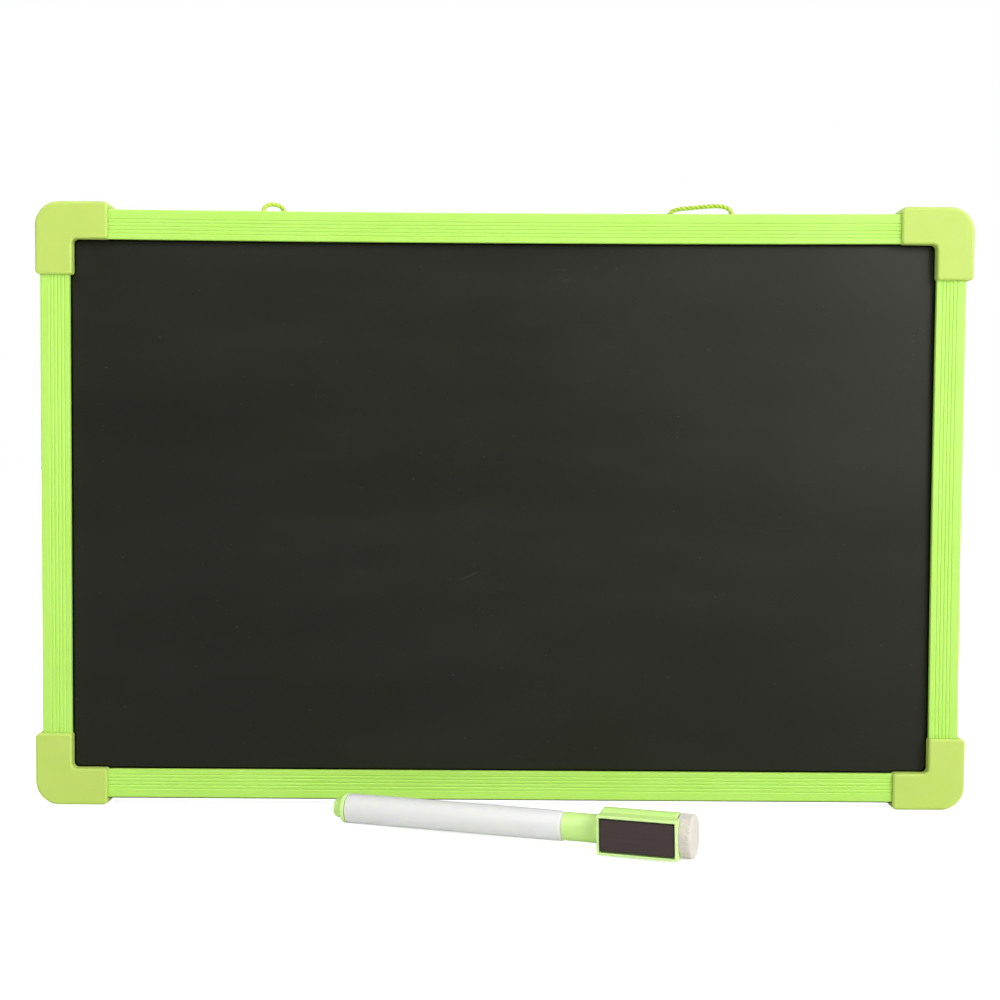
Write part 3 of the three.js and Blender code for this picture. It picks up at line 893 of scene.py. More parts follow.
@dataclass
class FrameRails:
    """Four ribbed U-section rails that grip the panel's edges."""

    CREASE = 50

    face: float = 9.75 * MM
    depth: float = 8.6 * MM
    web: float = 1.2 * MM
    leg: float = 1.1 * MM
    lip: float = 1.0 * MM
    lip_depth: float = 1.7 * MM
    corner_round: float = 0.5 * MM
    lip_round: float = 0.25 * MM
    grooves: int = 5
    first_groove: float = 3.2 * MM
    groove_pitch: float = 1.18 * MM
    groove_width: float = 0.56 * MM
    groove_depth: float = 0.19 * MM
    face_points: int = 190
    stations: int = 41
    hole_radius: float = 1.2 * MM
    hole_flare: float = 0.35 * MM
    bows: dict = field(default_factory=lambda: {"top_rail": 0.6 * MM, "right_rail": 0.25 * MM})

    def groove(self, u: np.ndarray) -> np.ndarray:
        """Depth of the ribbed face at u: a row of cosine-squared grooves, one pitch apart."""
        index = np.clip(np.round((u - self.first_groove) / self.groove_pitch), 0, self.grooves - 1)
        off = np.abs(u - self.first_groove - index * self.groove_pitch)
        wave = np.cos(math.pi * off / self.groove_width) ** 2
        return np.where(off < self.groove_width / 2, self.groove_depth * wave, 0.0)

    def section(self) -> np.ndarray:
        """The closed U section, (inward, depth) pairs: a ribbed half and its mirror image."""
        u = np.linspace(self.corner_round, self.face - self.lip_round, self.face_points)
        half = np.concatenate([
            arc((self.corner_round, self.corner_round), self.corner_round, 180, 270, 8)[:-1],
            np.stack([u, self.groove(u)], 1),
            arc((self.face - self.lip_round, self.lip_round), self.lip_round, 270, 360, 5)[1:],
            arc((self.face - self.lip_round, self.lip_depth - self.lip_round), self.lip_round, 0, 90, 5),
            [[self.face - self.lip, self.lip_depth], [self.face - self.lip, self.leg]],
            [[self.web, self.leg]],
        ])
        other = half[::-1] * [1, -1] + [0, self.depth]
        return np.concatenate([half, other])

    def sweep(self, name: str, inward: Vector) -> bpy.types.Object:
        """Carries the section along one rail, with its slight inward bow.

        The point at share t of the length, t from -1 to 1, moves inward by bow (1 - t^2).

        Args:
            name: the CAD node's name, whose box gives the rail's ends and outer side.
            inward: the direction from the rail to the middle of the board.

        Returns:
            The rail.
        """
        low, high = (np.array(corner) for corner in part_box(name))
        direction = np.array(inward)
        axis = 0 if abs(direction[0]) < 0.5 else 2
        t = np.linspace(-1, 1, self.stations)
        centre = (low + high) / 2
        path = np.tile(centre, (len(t), 1))
        path[:, axis] += t * (high - low)[axis] / 2
        start = np.where(direction > 0, low, high)
        across = 2 - axis
        path[:, across] = start[across]
        path[:, 1] = low[1]
        path += direction * (self.bows.get(name, 0.0) * (1 - t ** 2))[:, None]
        section = self.section()
        points = path[:, None, :] + section[None, :, :1] * direction
        points = points + section[None, :, 1:] * np.array([0.0, 1.0, 0.0])
        around = float(np.linalg.norm(np.diff(section, axis=0), axis=1).sum())
        body = Grid(points, wrap_columns=True, across=around, along=float((high - low)[axis]))
        piece_name = name.replace("_rail", "_rail_extrusion")
        return make_piece(piece_name, [body], lids=[points[0], points[-1]], crease=self.CREASE)

    def drill(self, rail: bpy.types.Object) -> None:
        """Drills the two cord holes through the top rail's web, each with a broken edge."""
        below_top = 0.4 * MM
        reach, flare_start, flare_end = 2.4 * MM, -0.5 * MM, 0.3 * MM
        narrow, wide = self.hole_radius, self.hole_radius + self.hole_flare
        profile = np.array([
            [-reach, 0], [-reach, narrow], [flare_start, narrow],
            [flare_end, wide], [reach, wide], [reach, 0],
        ])
        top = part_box("top_rail")[1].z
        x, y, z = np.moveaxis(turned(profile, 32).points, -1, 0)
        tools = []
        for knot in ("cord_knot_left", "cord_knot_right"):
            low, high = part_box(knot)
            over = (low + high) / 2
            upright = np.stack([y + over.x, z + over.y, x + top - below_top], -1)
            tools.append(make_piece("drill", [Grid(upright, wrap_columns=True)]))
        cut(rail, tools)
        smooth(rail.data, self.CREASE)

    def build(self) -> None:
        """Makes, drills and dresses the four rails."""
        material = LIME_RAIL.build()
        directions = {
            "top_rail": Vector((0, 0, -1)), "bottom_rail": Vector((0, 0, 1)),
            "left_rail": Vector((1, 0, 0)), "right_rail": Vector((-1, 0, 0)),
        }
        for name, inward in directions.items():
            rail = self.sweep(name, inward)
            if name == "top_rail":
                self.drill(rail)
            even_normals(rail)
            dress(rail, "board", "rail_plastic", material, name)


@dataclass
class CornerCaps:
    """Four moulded L caps: full rounds outside, small ones inside, sockets for rails and panel.

    seating says how far a cap was pressed on past its place, or short of it. ridge_rings are the
    distances, before the parting line, at which its ridge begins to rise.
    """

    CREASE = 35

    board: Board
    leg: float = 24 * MM
    width: float = 12.3 * MM
    corner_radius: float = 8 * MM
    inner_radius: float = 1.6 * MM
    leg_end_radius: float = 1.6 * MM
    tip_radius: float = 0.9 * MM
    outer_round: float = 1.2 * MM
    end_round: float = 0.8 * MM
    inner_round: float = 0.8 * MM
    rail_face: tuple[float, float] = (2.2 * MM, 11.7 * MM)
    rail_depth: float = 8.6 * MM
    rail_end: float = 13 * MM
    clearance: float = 0.12 * MM
    panel_edge: float = 7 * MM
    panel_recess: float = 3.3 * MM
    panel_clearance: float = 0.15 * MM
    parting_line: float = 0.05 * MM
    ridge_rings: tuple[float, float] = (0.6 * MM, 0.12 * MM)
    seating: dict = field(default_factory=lambda: {"corner_cap_top_left": Vector((0.8, 0, 0.2)) * MM})

    def outline(self) -> tuple[np.ndarray, np.ndarray]:
        """The L outline and the face round at each of its points.

        Straight sides joined by arcs; the outside corner is at the origin and an arm runs along
        each axis. The round is full size outside, smaller at the arms' ends and smallest inside.

        Returns:
            Points (n, 2) anticlockwise, and radii (n,).
        """
        leg, width, end, tip = self.leg, self.width, self.leg_end_radius, self.tip_radius
        first_arm = np.concatenate([
            np.stack([np.linspace(self.corner_radius, leg - end, 8)[:-1], np.zeros(7)], 1),
            arc((leg - end, end), end, -90, 0, 9),
            np.stack([np.full(6, leg), np.linspace(end, width - tip, 8)[1:-1]], 1),
            arc((leg - tip, width - tip), tip, 0, 90, 6),
            np.stack([np.linspace(leg - tip, width + self.inner_radius, 8)[1:-1], np.full(6, width)], 1),
        ])
        # One radius per point of first_arm: 7 along it, 9 round its end, 6 up the end, 12 inside.
        rounds = np.concatenate([
            np.full(7, self.outer_round), np.linspace(self.outer_round, self.end_round, 9),
            np.linspace(self.end_round, self.inner_round, 6), np.full(12, self.inner_round),
        ])
        elbow_centre = (width + self.inner_radius, width + self.inner_radius)
        elbow = arc(elbow_centre, self.inner_radius, 270, 180, 9)
        corner = arc((self.corner_radius, self.corner_radius), self.corner_radius, 180, 270, 21)[:-1]
        points = np.concatenate([first_arm, elbow, first_arm[::-1][:, ::-1], corner[1:]])
        radii = np.concatenate([
            rounds, np.full(9, self.inner_round), rounds[::-1], np.full(19, self.outer_round),
        ])
        return points, radii

    def skin(self, name: str, corner: Vector, first: Vector, second: Vector) -> bpy.types.Object:
        """The moulding's outer skin, closed front and back.

        Each ring of the skin is the outline moved inward by r (1 - sin a) and back by
        r (1 - cos a), a from 0 at the face to 90 degrees at the side, r being the local round.

        Args:
            name: the piece's name.
            corner: the outside corner at the front face.
            first: direction of the first arm.
            second: direction of the second arm.

        Returns:
            The solid skin.
        """
        outline, radii = self.outline()
        ahead, behind = np.roll(outline, -1, 0) - outline, outline - np.roll(outline, 1, 0)
        tangent = ahead / np.linalg.norm(ahead, axis=1, keepdims=True)
        tangent = tangent + behind / np.linalg.norm(behind, axis=1, keepdims=True)
        tangent /= np.linalg.norm(tangent, axis=1, keepdims=True)
        inward = np.stack([-tangent[:, 1], tangent[:, 0]], 1)
        angle = np.radians(np.linspace(0, 90, 9))[:, None]
        half = self.board.depth / 2
        rise, foot = self.ridge_rings
        ridge = np.array([[0.0, half - rise], [0.0, half - foot], [-self.parting_line, half]])
        ridge = ridge[..., None] * np.ones(len(radii))
        offset = np.concatenate([radii * (1 - np.sin(angle)), ridge[:, 0]])
        level = np.concatenate([radii * (1 - np.cos(angle)), ridge[:, 1]])
        offset = np.concatenate([offset, offset[-2::-1]])
        level = np.concatenate([level, self.board.depth - level[-2::-1]])
        flat = outline[None] + inward[None] * offset[..., None]
        points = np.array(corner) + flat[..., :1] * np.array(first) + flat[..., 1:] * np.array(second)
        points = points + level[..., None] * np.array([0.0, 1.0, 0.0])
        skin = Grid(points, wrap_columns=True)
        return make_piece(name, [skin], lids=[points[0], points[-1]], crease=self.CREASE)

    def sockets(self, corner: Vector, first: Vector, second: Vector) -> list[bpy.types.Object]:
        """The three boxes to be cut away: one for each rail and one for the panel's corner."""
        past, fit = self.leg + MM, self.clearance
        low, high = self.rail_face[0] - fit, self.rail_face[1] + fit
        rail_front = (self.board.depth - self.rail_depth) / 2 - fit
        slot_front = self.panel_recess - self.panel_clearance
        slot_edge = self.panel_edge - self.panel_clearance
        stop = self.rail_end - fit
        spans = [
            ((stop, past), (low, high), rail_front),
            ((low, high), (stop, past), rail_front),
            ((slot_edge, past), (slot_edge, past), slot_front),
        ]
        tools = []
        for (a0, a1), (b0, b1), front in spans:
            near = corner + first * a0 + second * b0 + Vector((0, front, 0))
            far = corner + first * a1 + second * b1 + Vector((0, self.board.depth - front, 0))
            low_corner = [min(p, q) for p, q in zip(near, far)]
            high_corner = [max(p, q) for p, q in zip(near, far)]
            tools.append(block("socket", low_corner, high_corner))
        return tools

    def build(self) -> None:
        """Makes, hollows and dresses the four caps."""
        material = YELLOW_CAP.build()
        for side, left in (("left", 1), ("right", -1)):
            for level, up in (("bottom", 1), ("top", -1)):
                node = f"corner_cap_{level}_{side}"
                height = 0 if up > 0 else self.board.height
                corner = Vector((-left * self.board.half_width, self.board.front, height))
                first, second = Vector((left, 0, 0)), Vector((0, 0, up))
                seated = corner + self.seating.get(node, Vector((0, 0, 0)))
                cap = self.skin(node.replace("cap", "moulding"), seated, first, second)
                cut(cap, self.sockets(corner, first, second))
                smooth(cap.data, self.CREASE)
                even_normals(cap)
                dress(cap, "board", "cap_plastic", material, node)


@dataclass
class Panel:
    """The three-layer panel: CAD shapes that only need their finishes."""

    def build(self) -> None:
        """Dresses the chalk sheet, the core board and the dry-erase sheet."""
        redress("chalk_sheet", ChalkCoat().build())
        redress("core_board", HARDBOARD.build())
        redress("dry_erase_sheet", DryEraseCoat().build())


@dataclass
class HangingCord:
    """The twisted cord: out of one hole, down behind the board in a loop, and in at the other."""

    board: Board
    diameter: float = 1.5 * MM
    strands: int = 3
    strand_offset: float = 0.42
    twist_pitch: float = 4.6 * MM
    around: int = 42
    spacing: float = 0.3 * MM
    knot_yarn: float = 0.52 * MM
    knot_length: float = 0.02
    knot_points: int = 180
    knot_sides: int = 20
    knot_ripple: float = 0.1
    route: tuple = (
        (-80.0, 5.5, 196.6),
        (-79.75, 5.65, 198.3),
        (-79.2, 6.15, 199.5),
        (-78.4, 6.85, 200.25),
        (-77.3, 7.75, 200.6),
        (-75.9, 8.9, 200.6),
        (-74.8, 9.75, 200.25),
        (-74.0, 10.45, 199.5),
        (-73.45, 10.9, 198.3),
        (-73.1, 11.1, 196.5),
        (-71.6, 11.0, 190.4),
        (-68.2, 10.9, 181.0),
        (-62.9, 10.9, 169.6),
        (-55.8, 10.9, 157.8),
        (-46.6, 10.9, 146.9),
        (-35.6, 10.9, 138.0),
        (-23.0, 10.9, 132.0),
        (-9.4, 10.9, 129.9),
        (4.2, 10.9, 132.0),
        (16.8, 10.9, 138.0),
        (27.8, 10.9, 146.9),
        (37.0, 10.9, 157.8),
        (44.1, 10.9, 169.6),
        (49.5, 10.9, 181.0),
        (53.1, 11.0, 190.4),
        (54.3, 11.1, 194.3),
        (55.0, 11.1, 196.9),
        (55.5, 11.0, 198.4),
        (56.6, 10.8, 199.6),
        (58.4, 10.4, 200.25),
        (61.5, 9.6, 200.5),
        (64.8, 8.7, 200.7),
        (68.0, 7.8, 200.85),
        (70.6, 7.05, 200.85),
        (72.7, 6.45, 200.6),
        (74.4, 5.95, 199.95),
        (75.5, 5.65, 198.6),
        (76.0, 5.5, 196.6),
    )

    def path(self) -> np.ndarray:
        """The centre line: the listed route, smoothed and evenly spaced."""
        points = np.array(self.route) * MM + [0.0, self.board.front, 0.0]
        return through(points, self.spacing)

    def strand_section(self, turn: np.ndarray) -> tuple[np.ndarray, np.ndarray]:
        """Radius of the laid strands at an angle from a strand's middle.

        The outline of circles of radius a whose centres lie at distance b from the axis:
        b cos w + sqrt(a^2 - b^2 sin^2 w), w being the angle to the nearest centre.

        Args:
            turn: angles about the cord's axis, in radians.

        Returns:
            Radii in metres, and a mask that is 1 in the valleys between strands.
        """
        sector = 2 * math.pi / self.strands
        w = (turn + sector / 2) % sector - sector / 2
        radius = self.diameter / 2
        b = self.strand_offset * radius
        a = radius - b
        edge = b * np.cos(w) + np.sqrt(a ** 2 - (b * np.sin(w)) ** 2)
        return edge, (np.abs(w) / (sector / 2)) ** 3

    def tube(self, name: str, path: np.ndarray) -> bpy.types.Object:
        """Carries the twisted section along a path and closes both ends.

        Args:
            name: the piece's name.
            path: its centre line.

        Returns:
            The cord, with an attribute "valley".
        """
        side, up = travelling_frames(path)
        run = np.linspace(0, line_length(path), len(path))[:, None]
        turn = np.linspace(0, 2 * math.pi, self.around, endpoint=False)[None, :]
        radius, valley = self.strand_section(turn - 2 * math.pi * run / self.twist_pitch)
        ring = np.cos(turn)[..., None] * side[:, None] + np.sin(turn)[..., None] * up[:, None]
        points = path[:, None] + radius[..., None] * ring
        body = Grid(points, wrap_columns=True, across=math.pi * self.diameter, along=float(run[-1, 0]))
        piece = make_piece(name, [body], lids=[points[0], points[-1]])
        layer = piece.data.attributes.new("valley", "FLOAT", "POINT")
        layer.data.foreach_set("value", valley.astype(np.float32).ravel())
        return piece

    def knot(self, name: str, node: str) -> bpy.types.Object:
        """An overhand knot, pulled tight under the web, as a closed trefoil.

        Its line is (sin t + 2 sin 2t, cos t - 2 cos 2t, -sin 3t), scaled to the CAD bead.

        Args:
            name: the piece's name.
            node: the CAD bead that it replaces.

        Returns:
            The knot.
        """
        low, high = (np.array(corner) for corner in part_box(node))
        radius = self.knot_yarn
        t = np.linspace(0, 2 * math.pi, self.knot_points, endpoint=False)
        line = np.stack([np.sin(t) + 2 * np.sin(2 * t), np.cos(t) - 2 * np.cos(2 * t), -np.sin(3 * t)], 1)
        reach = [3.0, 3.0, 1.0]
        half = (high - low) / 2 - radius
        line = (low + high) / 2 + line / reach * half
        tangent = np.roll(line, -1, 0) - np.roll(line, 1, 0)
        tangent /= np.linalg.norm(tangent, axis=1, keepdims=True)
        out = line - (low + high) / 2
        out = out - tangent * np.sum(out * tangent, axis=1, keepdims=True)
        out /= np.linalg.norm(out, axis=1, keepdims=True)
        up = np.cross(tangent, out)
        turn = np.linspace(0, 2 * math.pi, self.knot_sides, endpoint=False)[None, :, None]
        ripple = 1 - self.knot_ripple * np.cos(self.strands * turn + 6 * t[:, None, None]) ** 2
        ring = np.cos(turn) * out[:, None] + np.sin(turn) * up[:, None]
        points = line[:, None] + radius * ripple * ring
        return make_piece(name, [Grid(points, True, True, math.pi * self.diameter, self.knot_length)])

    def build(self) -> None:
        material = CORD_YARN.build()
        path = self.path()
        cord = dress(self.tube("cord", path), "board", "cord_fibre", material, "hanging_cord")
        for name in ("knot_left", "knot_right"):
            node = "cord_" + name
            dress(self.knot(name, node), "board", "cord_fibre", material, node)


# ---------------------------------------------------------------- the marker


@dataclass
class MarkerPlace:
    """Where the marker lies: its axis from the cap's joint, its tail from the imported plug."""

    tail_x: float = -52.35 * MM
    tail_ahead: float = 17.6 * MM
    rim_radius: float = 4.7 * MM
    rim_middle: float = 3.35 * MM

    def matrix(self, board: Board) -> Matrix:
        """Turns the marker's own frame, X along it and -Y to the magnet, into the row frame.

        Args:
            board: the board that it lies in front of.

        Returns:
            The 4 by 4 transform.
        """
        joint = next(j for j in frame["joints"] if j["name"] == "cap_pull")
        along = Vector(joint["axis"]).normalized()
        back = Vector((0, 0, 1)).cross(along).normalized()
        up = along.cross(back)
        pitch = math.asin(along.z)
        height = self.rim_radius / math.cos(pitch) - self.rim_middle * math.tan(pitch)
        place = Matrix((along, back, up)).transposed().to_4x4()
        place.translation = Vector((self.tail_x, board.front - self.tail_ahead, height))
        return place


@dataclass
class Marker:
    """The slim marker, tail plug to nib. Distances are from the tip of the tail plug."""

    place: Matrix

    def settle(self, piece: bpy.types.Object) -> bpy.types.Object:
        """Moves a piece's mesh from the marker's own frame to the row frame."""
        piece.data.transform(self.place)
        return piece

    def lathe(self, name: str, corners: Sequence[tuple[float, float, float]],
              sides: int = 96) -> bpy.types.Object:
        """A turned piece from (along, radius, round) corners in millimetres."""
        return make_piece(name, [turned(softened(corners) * MM, sides)])

    def tail_plug(self) -> bpy.types.Object:
        """A rounded cone with a vent dimple, a rim and a stem that the barrel grips."""
        return self.lathe("tail_plug_moulding", [
            (0.45, 0, 0), (0.45, 0.8, 0.1), (0.0, 1.1, 0.12), (0.0, 2.9, 0.6), (2.6, 3.45, 0.5),
            (3.05, 3.6, 0.2), (3.25, 4.65, 0.3), (4.55, 4.65, 0.2), (4.55, 3.4, 0), (9.2, 3.4, 0.3),
            (9.5, 3.0, 0), (9.5, 0, 0),
        ])

    def barrel(self) -> bpy.types.Object:
        """A white tube, a touch slimmer at the cap, open at each end on its fitted part."""
        return self.lathe("barrel_moulding", [
            (4.85, 3.7, 0), (4.85, 4.6, 0.12), (70.0, 4.6, 3.0), (76.45, 4.5, 0.3),
            (76.45, 3.7, 0), (4.85, 3.7, 0),
        ])

    def nib_holder(self) -> bpy.types.Object:
        """The nose: a stem in the barrel, a sealing bead, and a cone down to the nib's collar."""
        return self.lathe("nose_moulding", [
            (69.5, 1.7, 0), (69.5, 3.4, 0.3), (76.45, 3.4, 0), (76.45, 4.2, 0), (76.7, 4.2, 0.05),
            (76.7, 3.3, 0.1), (80.4, 3.24, 0.2), (80.8, 3.4, 0.2), (81.2, 3.24, 0.2), (84.5, 3.24, 0.5),
            (87.6, 2.1, 0.4), (90.0, 2.1, 0.25), (90.0, 1.7, 0), (69.5, 1.7, 0),
        ])

    def nib(self) -> bpy.types.Object:
        """A bullet of pressed fibre: a round nose on a straight stem."""
        return self.lathe("nib_bullet", [
            (68.7, 0, 0), (68.7, 1.4, 0.2), (94.0, 1.4, 1.2), (95.4, 0.5, 0.4), (95.4, 0, 0),
        ], 48)

    def build(self) -> None:
        """Makes and dresses the marker's seen pieces and dresses the hidden ink reservoir."""
        lime, white, nib = MARKER_LIME.build(), MARKER_WHITE.build(), NIB_FIBRE.build()
        dress(self.settle(self.tail_plug()), "marker", "marker_lime", lime, "tail_plug")
        dress(self.settle(self.barrel()), "marker", "marker_white", white, "marker_barrel")
        dress(self.settle(self.nib_holder()), "marker", "marker_white", white, "nib_holder")
        dress(self.settle(self.nib()), "marker", "nib_fibre", nib, "nib")
        redress("ink_reservoir", INK_FIBRE.build())


@dataclass
class MarkerCap(Marker):
    """The pull-off cap: a sleeve and eraser cup in one moulding, a magnet in its seat, felt in its end.

    All its sizes are in millimetres, from the tip of the tail plug.
    """

    CREASE = 35

    sleeve_start: float = 76.75
    sleeve_radius: float = 4.25
    bore_radius: float = 3.6
    bore_end: float = 98.0
    pocket_start: float = 99.2
    pocket_radius: float = 5.2
    cup_start: float = 88.75
    cup_end: float = 112.1
    cup_radius: float = 6.65
    seat_end: float = 113.1
    seat_face: float = 7.2
    seat_half: float = 5.9
    seat_round: float = 0.35
    seat_rim: float = 0.75
    seat_floor: float = 6.0
    magnet: tuple[float, float] = (22.3, 9.4)
    magnet_face: float = 7.1
    felt_start: float = 112.4
    felt_end: float = 116.8
    felt_radius: float = 6.5
    lump_share: float = 0.018
    fibres: int = 1700
    fibre_lengths: tuple[float, float] = (0.1, 0.28)
    fibre_drift: float = 0.4
    fibre_thickness: float = 0.024
    fibre_root: float = 0.05

    def shell(self) -> bpy.types.Object:
        """The moulding: a turned sleeve and cup with a rounded block for the magnet's seat."""
        start, bore, pocket, cup = self.sleeve_start, self.bore_radius, self.pocket_radius, self.cup_radius
        body = self.lathe("cap_moulding", [
            (start, bore, 0), (start, self.sleeve_radius, 0.2), (87.5, self.sleeve_radius, 0.9),
            (self.cup_start, pocket, 0.2), (self.cup_start, cup, 0.8), (self.cup_end, cup, 0.3),
            (self.cup_end, pocket, 0), (self.pocket_start, pocket, 0), (self.pocket_start, 0, 0),
            (self.bore_end, 0, 0), (self.bore_end, bore, 0), (start, bore, 0),
        ])
        cut(body, [self.seat_block()], "UNION")
        rim = self.seat_rim
        low = np.array([self.cup_start + rim, -self.seat_face - 1, rim - self.seat_half]) * MM
        high = np.array([self.seat_end - rim, -self.seat_floor, self.seat_half - rim]) * MM
        before, past = 70, 120
        rooms = {
            "bore": (before, self.bore_end, bore),
            "pocket": (self.pocket_start, past, pocket),
            "felt room": (self.cup_end, past, cup + 0.15),
        }
        tools = [
            self.lathe(name, [(a, 0, 0), (a, radius, 0), (b, radius, 0), (b, 0, 0)])
            for name, (a, b, radius) in rooms.items()
        ]
        cut(body, tools + [block("recess", low, high)])
        smooth(body.data, self.CREASE)
        even_normals(body)
        return body

    def seat_block(self) -> bpy.types.Object:
        """A block with rounded edges, from the axis out to the magnet's face.

        Each ring is the rectangle with corners of radius c, moved inward by c (1 - sin a) and
        along the depth by c (1 - cos a) at the face. The last ring lies near the axis, inside the cup.
        """
        c = self.seat_round
        x0, x1, z = self.cup_start, self.seat_end, self.seat_half
        corners = [(x1 - c, z - c, 0), (x0 + c, z - c, 90), (x0 + c, c - z, 180), (x1 - c, c - z, 270)]
        ring = np.concatenate([arc((x, h), c, start, start + 90, 5) for x, h, start in corners])
        centre = np.concatenate([np.tile([[x, h]], (5, 1)) for x, h, _ in corners])
        angle = np.radians(np.linspace(0, 90, 6))[:, None, None]
        flat = centre + (ring - centre) * np.sin(angle)
        depth = np.broadcast_to(self.seat_face - c * (1 - np.cos(angle)), flat.shape[:2] + (1,))
        flat = np.concatenate([flat, flat[-1:]])
        depth = np.concatenate([depth, np.full_like(depth[:1], 1.0)])
        points = np.stack([flat[..., 0], -depth[..., 0], flat[..., 1]], -1) * MM
        return make_piece("seat", [Grid(points, wrap_columns=True)], lids=[points[0], points[-1]])

    def magnet_slab(self) -> bpy.types.Object:
        """A rectangle of magnet sheet with cut edges just broken, and a slight pillow.

        The face stands out by h (1 - x^4)(1 - z^4), x and z from -1 to 1 across it.
        """
        middle = (self.cup_start + self.seat_end) / 2
        pillow, glued_face = 0.05, 6.1
        x = np.linspace(-1, 1, 40)[None, :]
        z = np.linspace(-1, 1, 24)[:, None]
        swell = pillow * (1 - x ** 4) * (1 - z ** 4)
        face = np.stack([
            np.broadcast_to(middle + x * self.magnet[0] / 2, swell.shape),
            -(self.magnet_face - pillow + swell),
            np.broadcast_to(z * self.magnet[1] / 2, swell.shape),
        ], -1) * MM
        rear = face.copy()
        rear[..., 1] = -glued_face * MM
        ring = self.border(face)
        rim = np.stack([ring, self.border(rear)])
        slab = make_piece("magnet_slab", [Grid(face), Grid(rear), Grid(rim, wrap_columns=True)])
        edge = slab.modifiers.new("broken edge", "BEVEL")
        edge.width = 0.12 * MM
        edge.segments = RENDER_LEVELS + 1
        edge.limit_method = "ANGLE"
        bake_modifiers(slab)
        smooth(slab.data, 40)
        return slab

    @staticmethod
    def border(points: np.ndarray) -> np.ndarray:
        """The closed ring of points round the edge of a grid."""
        return np.concatenate([points[0, :-1], points[:-1, -1], points[-1, :0:-1], points[:0:-1, 0]])

    def felt_plug(self) -> bpy.types.Object:
        """The felt eraser, its head roughened.

        Each point of the head moves along its own direction from the axis by a sum of sines of
        its angle and place, which stands in for the pressed wool's lumps.
        """
        profile = softened([
            (99.6, 0, 0), (99.6, 4.9, 0.2), (self.felt_start, 4.9, 0),
            (self.felt_start, self.felt_radius, 0.35), (self.felt_end, 6.45, 1.1), (116.95, 0, 0),
        ], 10)
        step = 0.25
        runs = [
            np.linspace(a, b, 2 + int(np.linalg.norm(b - a) / step))[:-1]
            for a, b in zip(profile, profile[1:])
        ]
        dense = np.concatenate(runs + [profile[-1:]]) * MM
        x, y, z = np.moveaxis(turned(dense, 160).points, -1, 0)
        lump = sum(
            np.sin(k * 900 * x + p) * np.sin(k * 1300 * y + 2 * p) * np.sin(k * 1100 * z + 3 * p) / k
            for k, p in ((1, 0.4), (2, 1.7), (4, 2.9), (7, 4.4))
        )
        head_start, fade, end_face, end_lump = 112.5 * MM, 0.4 * MM, 116.5 * MM, 0.06 * MM
        head = np.clip((x - head_start) / fade, 0, 1)
        scale = 1 + head * self.lump_share * lump
        points = np.stack([x + head * end_lump * lump * (x > end_face), y * scale, z * scale], -1)
        return make_piece("felt_plug", [Grid(points, wrap_columns=True)])

    def felt_fuzz(self) -> bpy.types.Object:
        """Loose fibres on the felt's head, each a bent three-sided spike.

        A fibre's line is root + length (out s + drift s^2), s from 0 to 1, and its thickness
        falls to a point; roots and drifts are drawn from a seeded generator.
        """
        draw = np.random.default_rng(11)
        count = self.fibres
        on_end = draw.random(count) < 0.4
        turn = draw.uniform(0, 2 * math.pi, count)
        spread = self.felt_radius * np.where(on_end, np.sqrt(draw.random(count)) * 0.97, 1.0)
        on_side = draw.uniform(self.felt_start + 0.2, self.felt_end - 1.0, count)
        along = np.where(on_end, self.felt_end, on_side)
        root = np.stack([along, spread * np.cos(turn), spread * np.sin(turn)], 1)
        out = np.where(
            on_end[:, None], [[1.0, 0.0, 0.0]],
            np.stack([np.zeros(count), np.cos(turn), np.sin(turn)], 1),
        )
        drift = draw.normal(0, self.fibre_drift, (count, 3))
        length = draw.uniform(*self.fibre_lengths, count)[:, None, None]
        s = np.linspace(0, 1, 4)[None, :, None]
        bend = out[:, None] * s + drift[:, None] * s ** 2
        line = root[:, None] - self.fibre_root * out[:, None] + length * bend
        side = np.cross(out, draw.normal(0, 1, (count, 3)))
        side /= np.linalg.norm(side, axis=1, keepdims=True)
        other = np.cross(out, side)
        angle = np.linspace(0, 2 * math.pi, 3, endpoint=False)
        ring = np.cos(angle)[:, None] * side[:, None] + np.sin(angle)[:, None] * other[:, None]
        thickness = self.fibre_thickness * (1 - 0.85 * s[..., None])
        points = (line[:, :, None] + thickness * ring[:, None]) * MM
        # Each fibre has four rings of three points, joined by quads and closed by two triangles.
        around = ((0, 1), (1, 2), (2, 0))
        quads = [[r * 3 + a, r * 3 + b, r * 3 + 3 + b, r * 3 + 3 + a] for r in range(3) for a, b in around]
        first = 12 * np.arange(count)[:, None, None]
        faces = (np.array(quads)[None] + first).reshape(-1, 4).tolist()
        ends = (np.array([[2, 1, 0], [9, 10, 11]])[None] + first).reshape(-1, 3).tolist()
        mesh = bpy.data.meshes.new("felt_fuzz")
        mesh.from_pydata(points.reshape(-1, 3).tolist(), [], faces + ends)
        mesh.update()
        fuzz = bpy.data.objects.new("felt_fuzz", mesh)
        bpy.context.scene.collection.objects.link(fuzz)
        return fuzz

    def build(self) -> None:
        """Makes and dresses the cap's pieces and dresses the hidden seal."""
        felt, lime, rubber = ERASER_FELT.build(), MARKER_LIME.build(), FerriteRubber().build()
        dress(self.settle(self.shell()), "marker_cap", "marker_lime", lime, "cap_shell")
        dress(self.settle(self.magnet_slab()), "marker_cap", "magnet_rubber", rubber, "magnet")
        dress(self.settle(self.felt_plug()), "marker_cap", "eraser_felt", felt, "eraser_felt")
        dress(self.settle(self.felt_fuzz()), "marker_cap", "eraser_felt", felt)
        redress("cap_seal", SEAL_PLASTIC.build())


# ---------------------------------------------------------------- studio


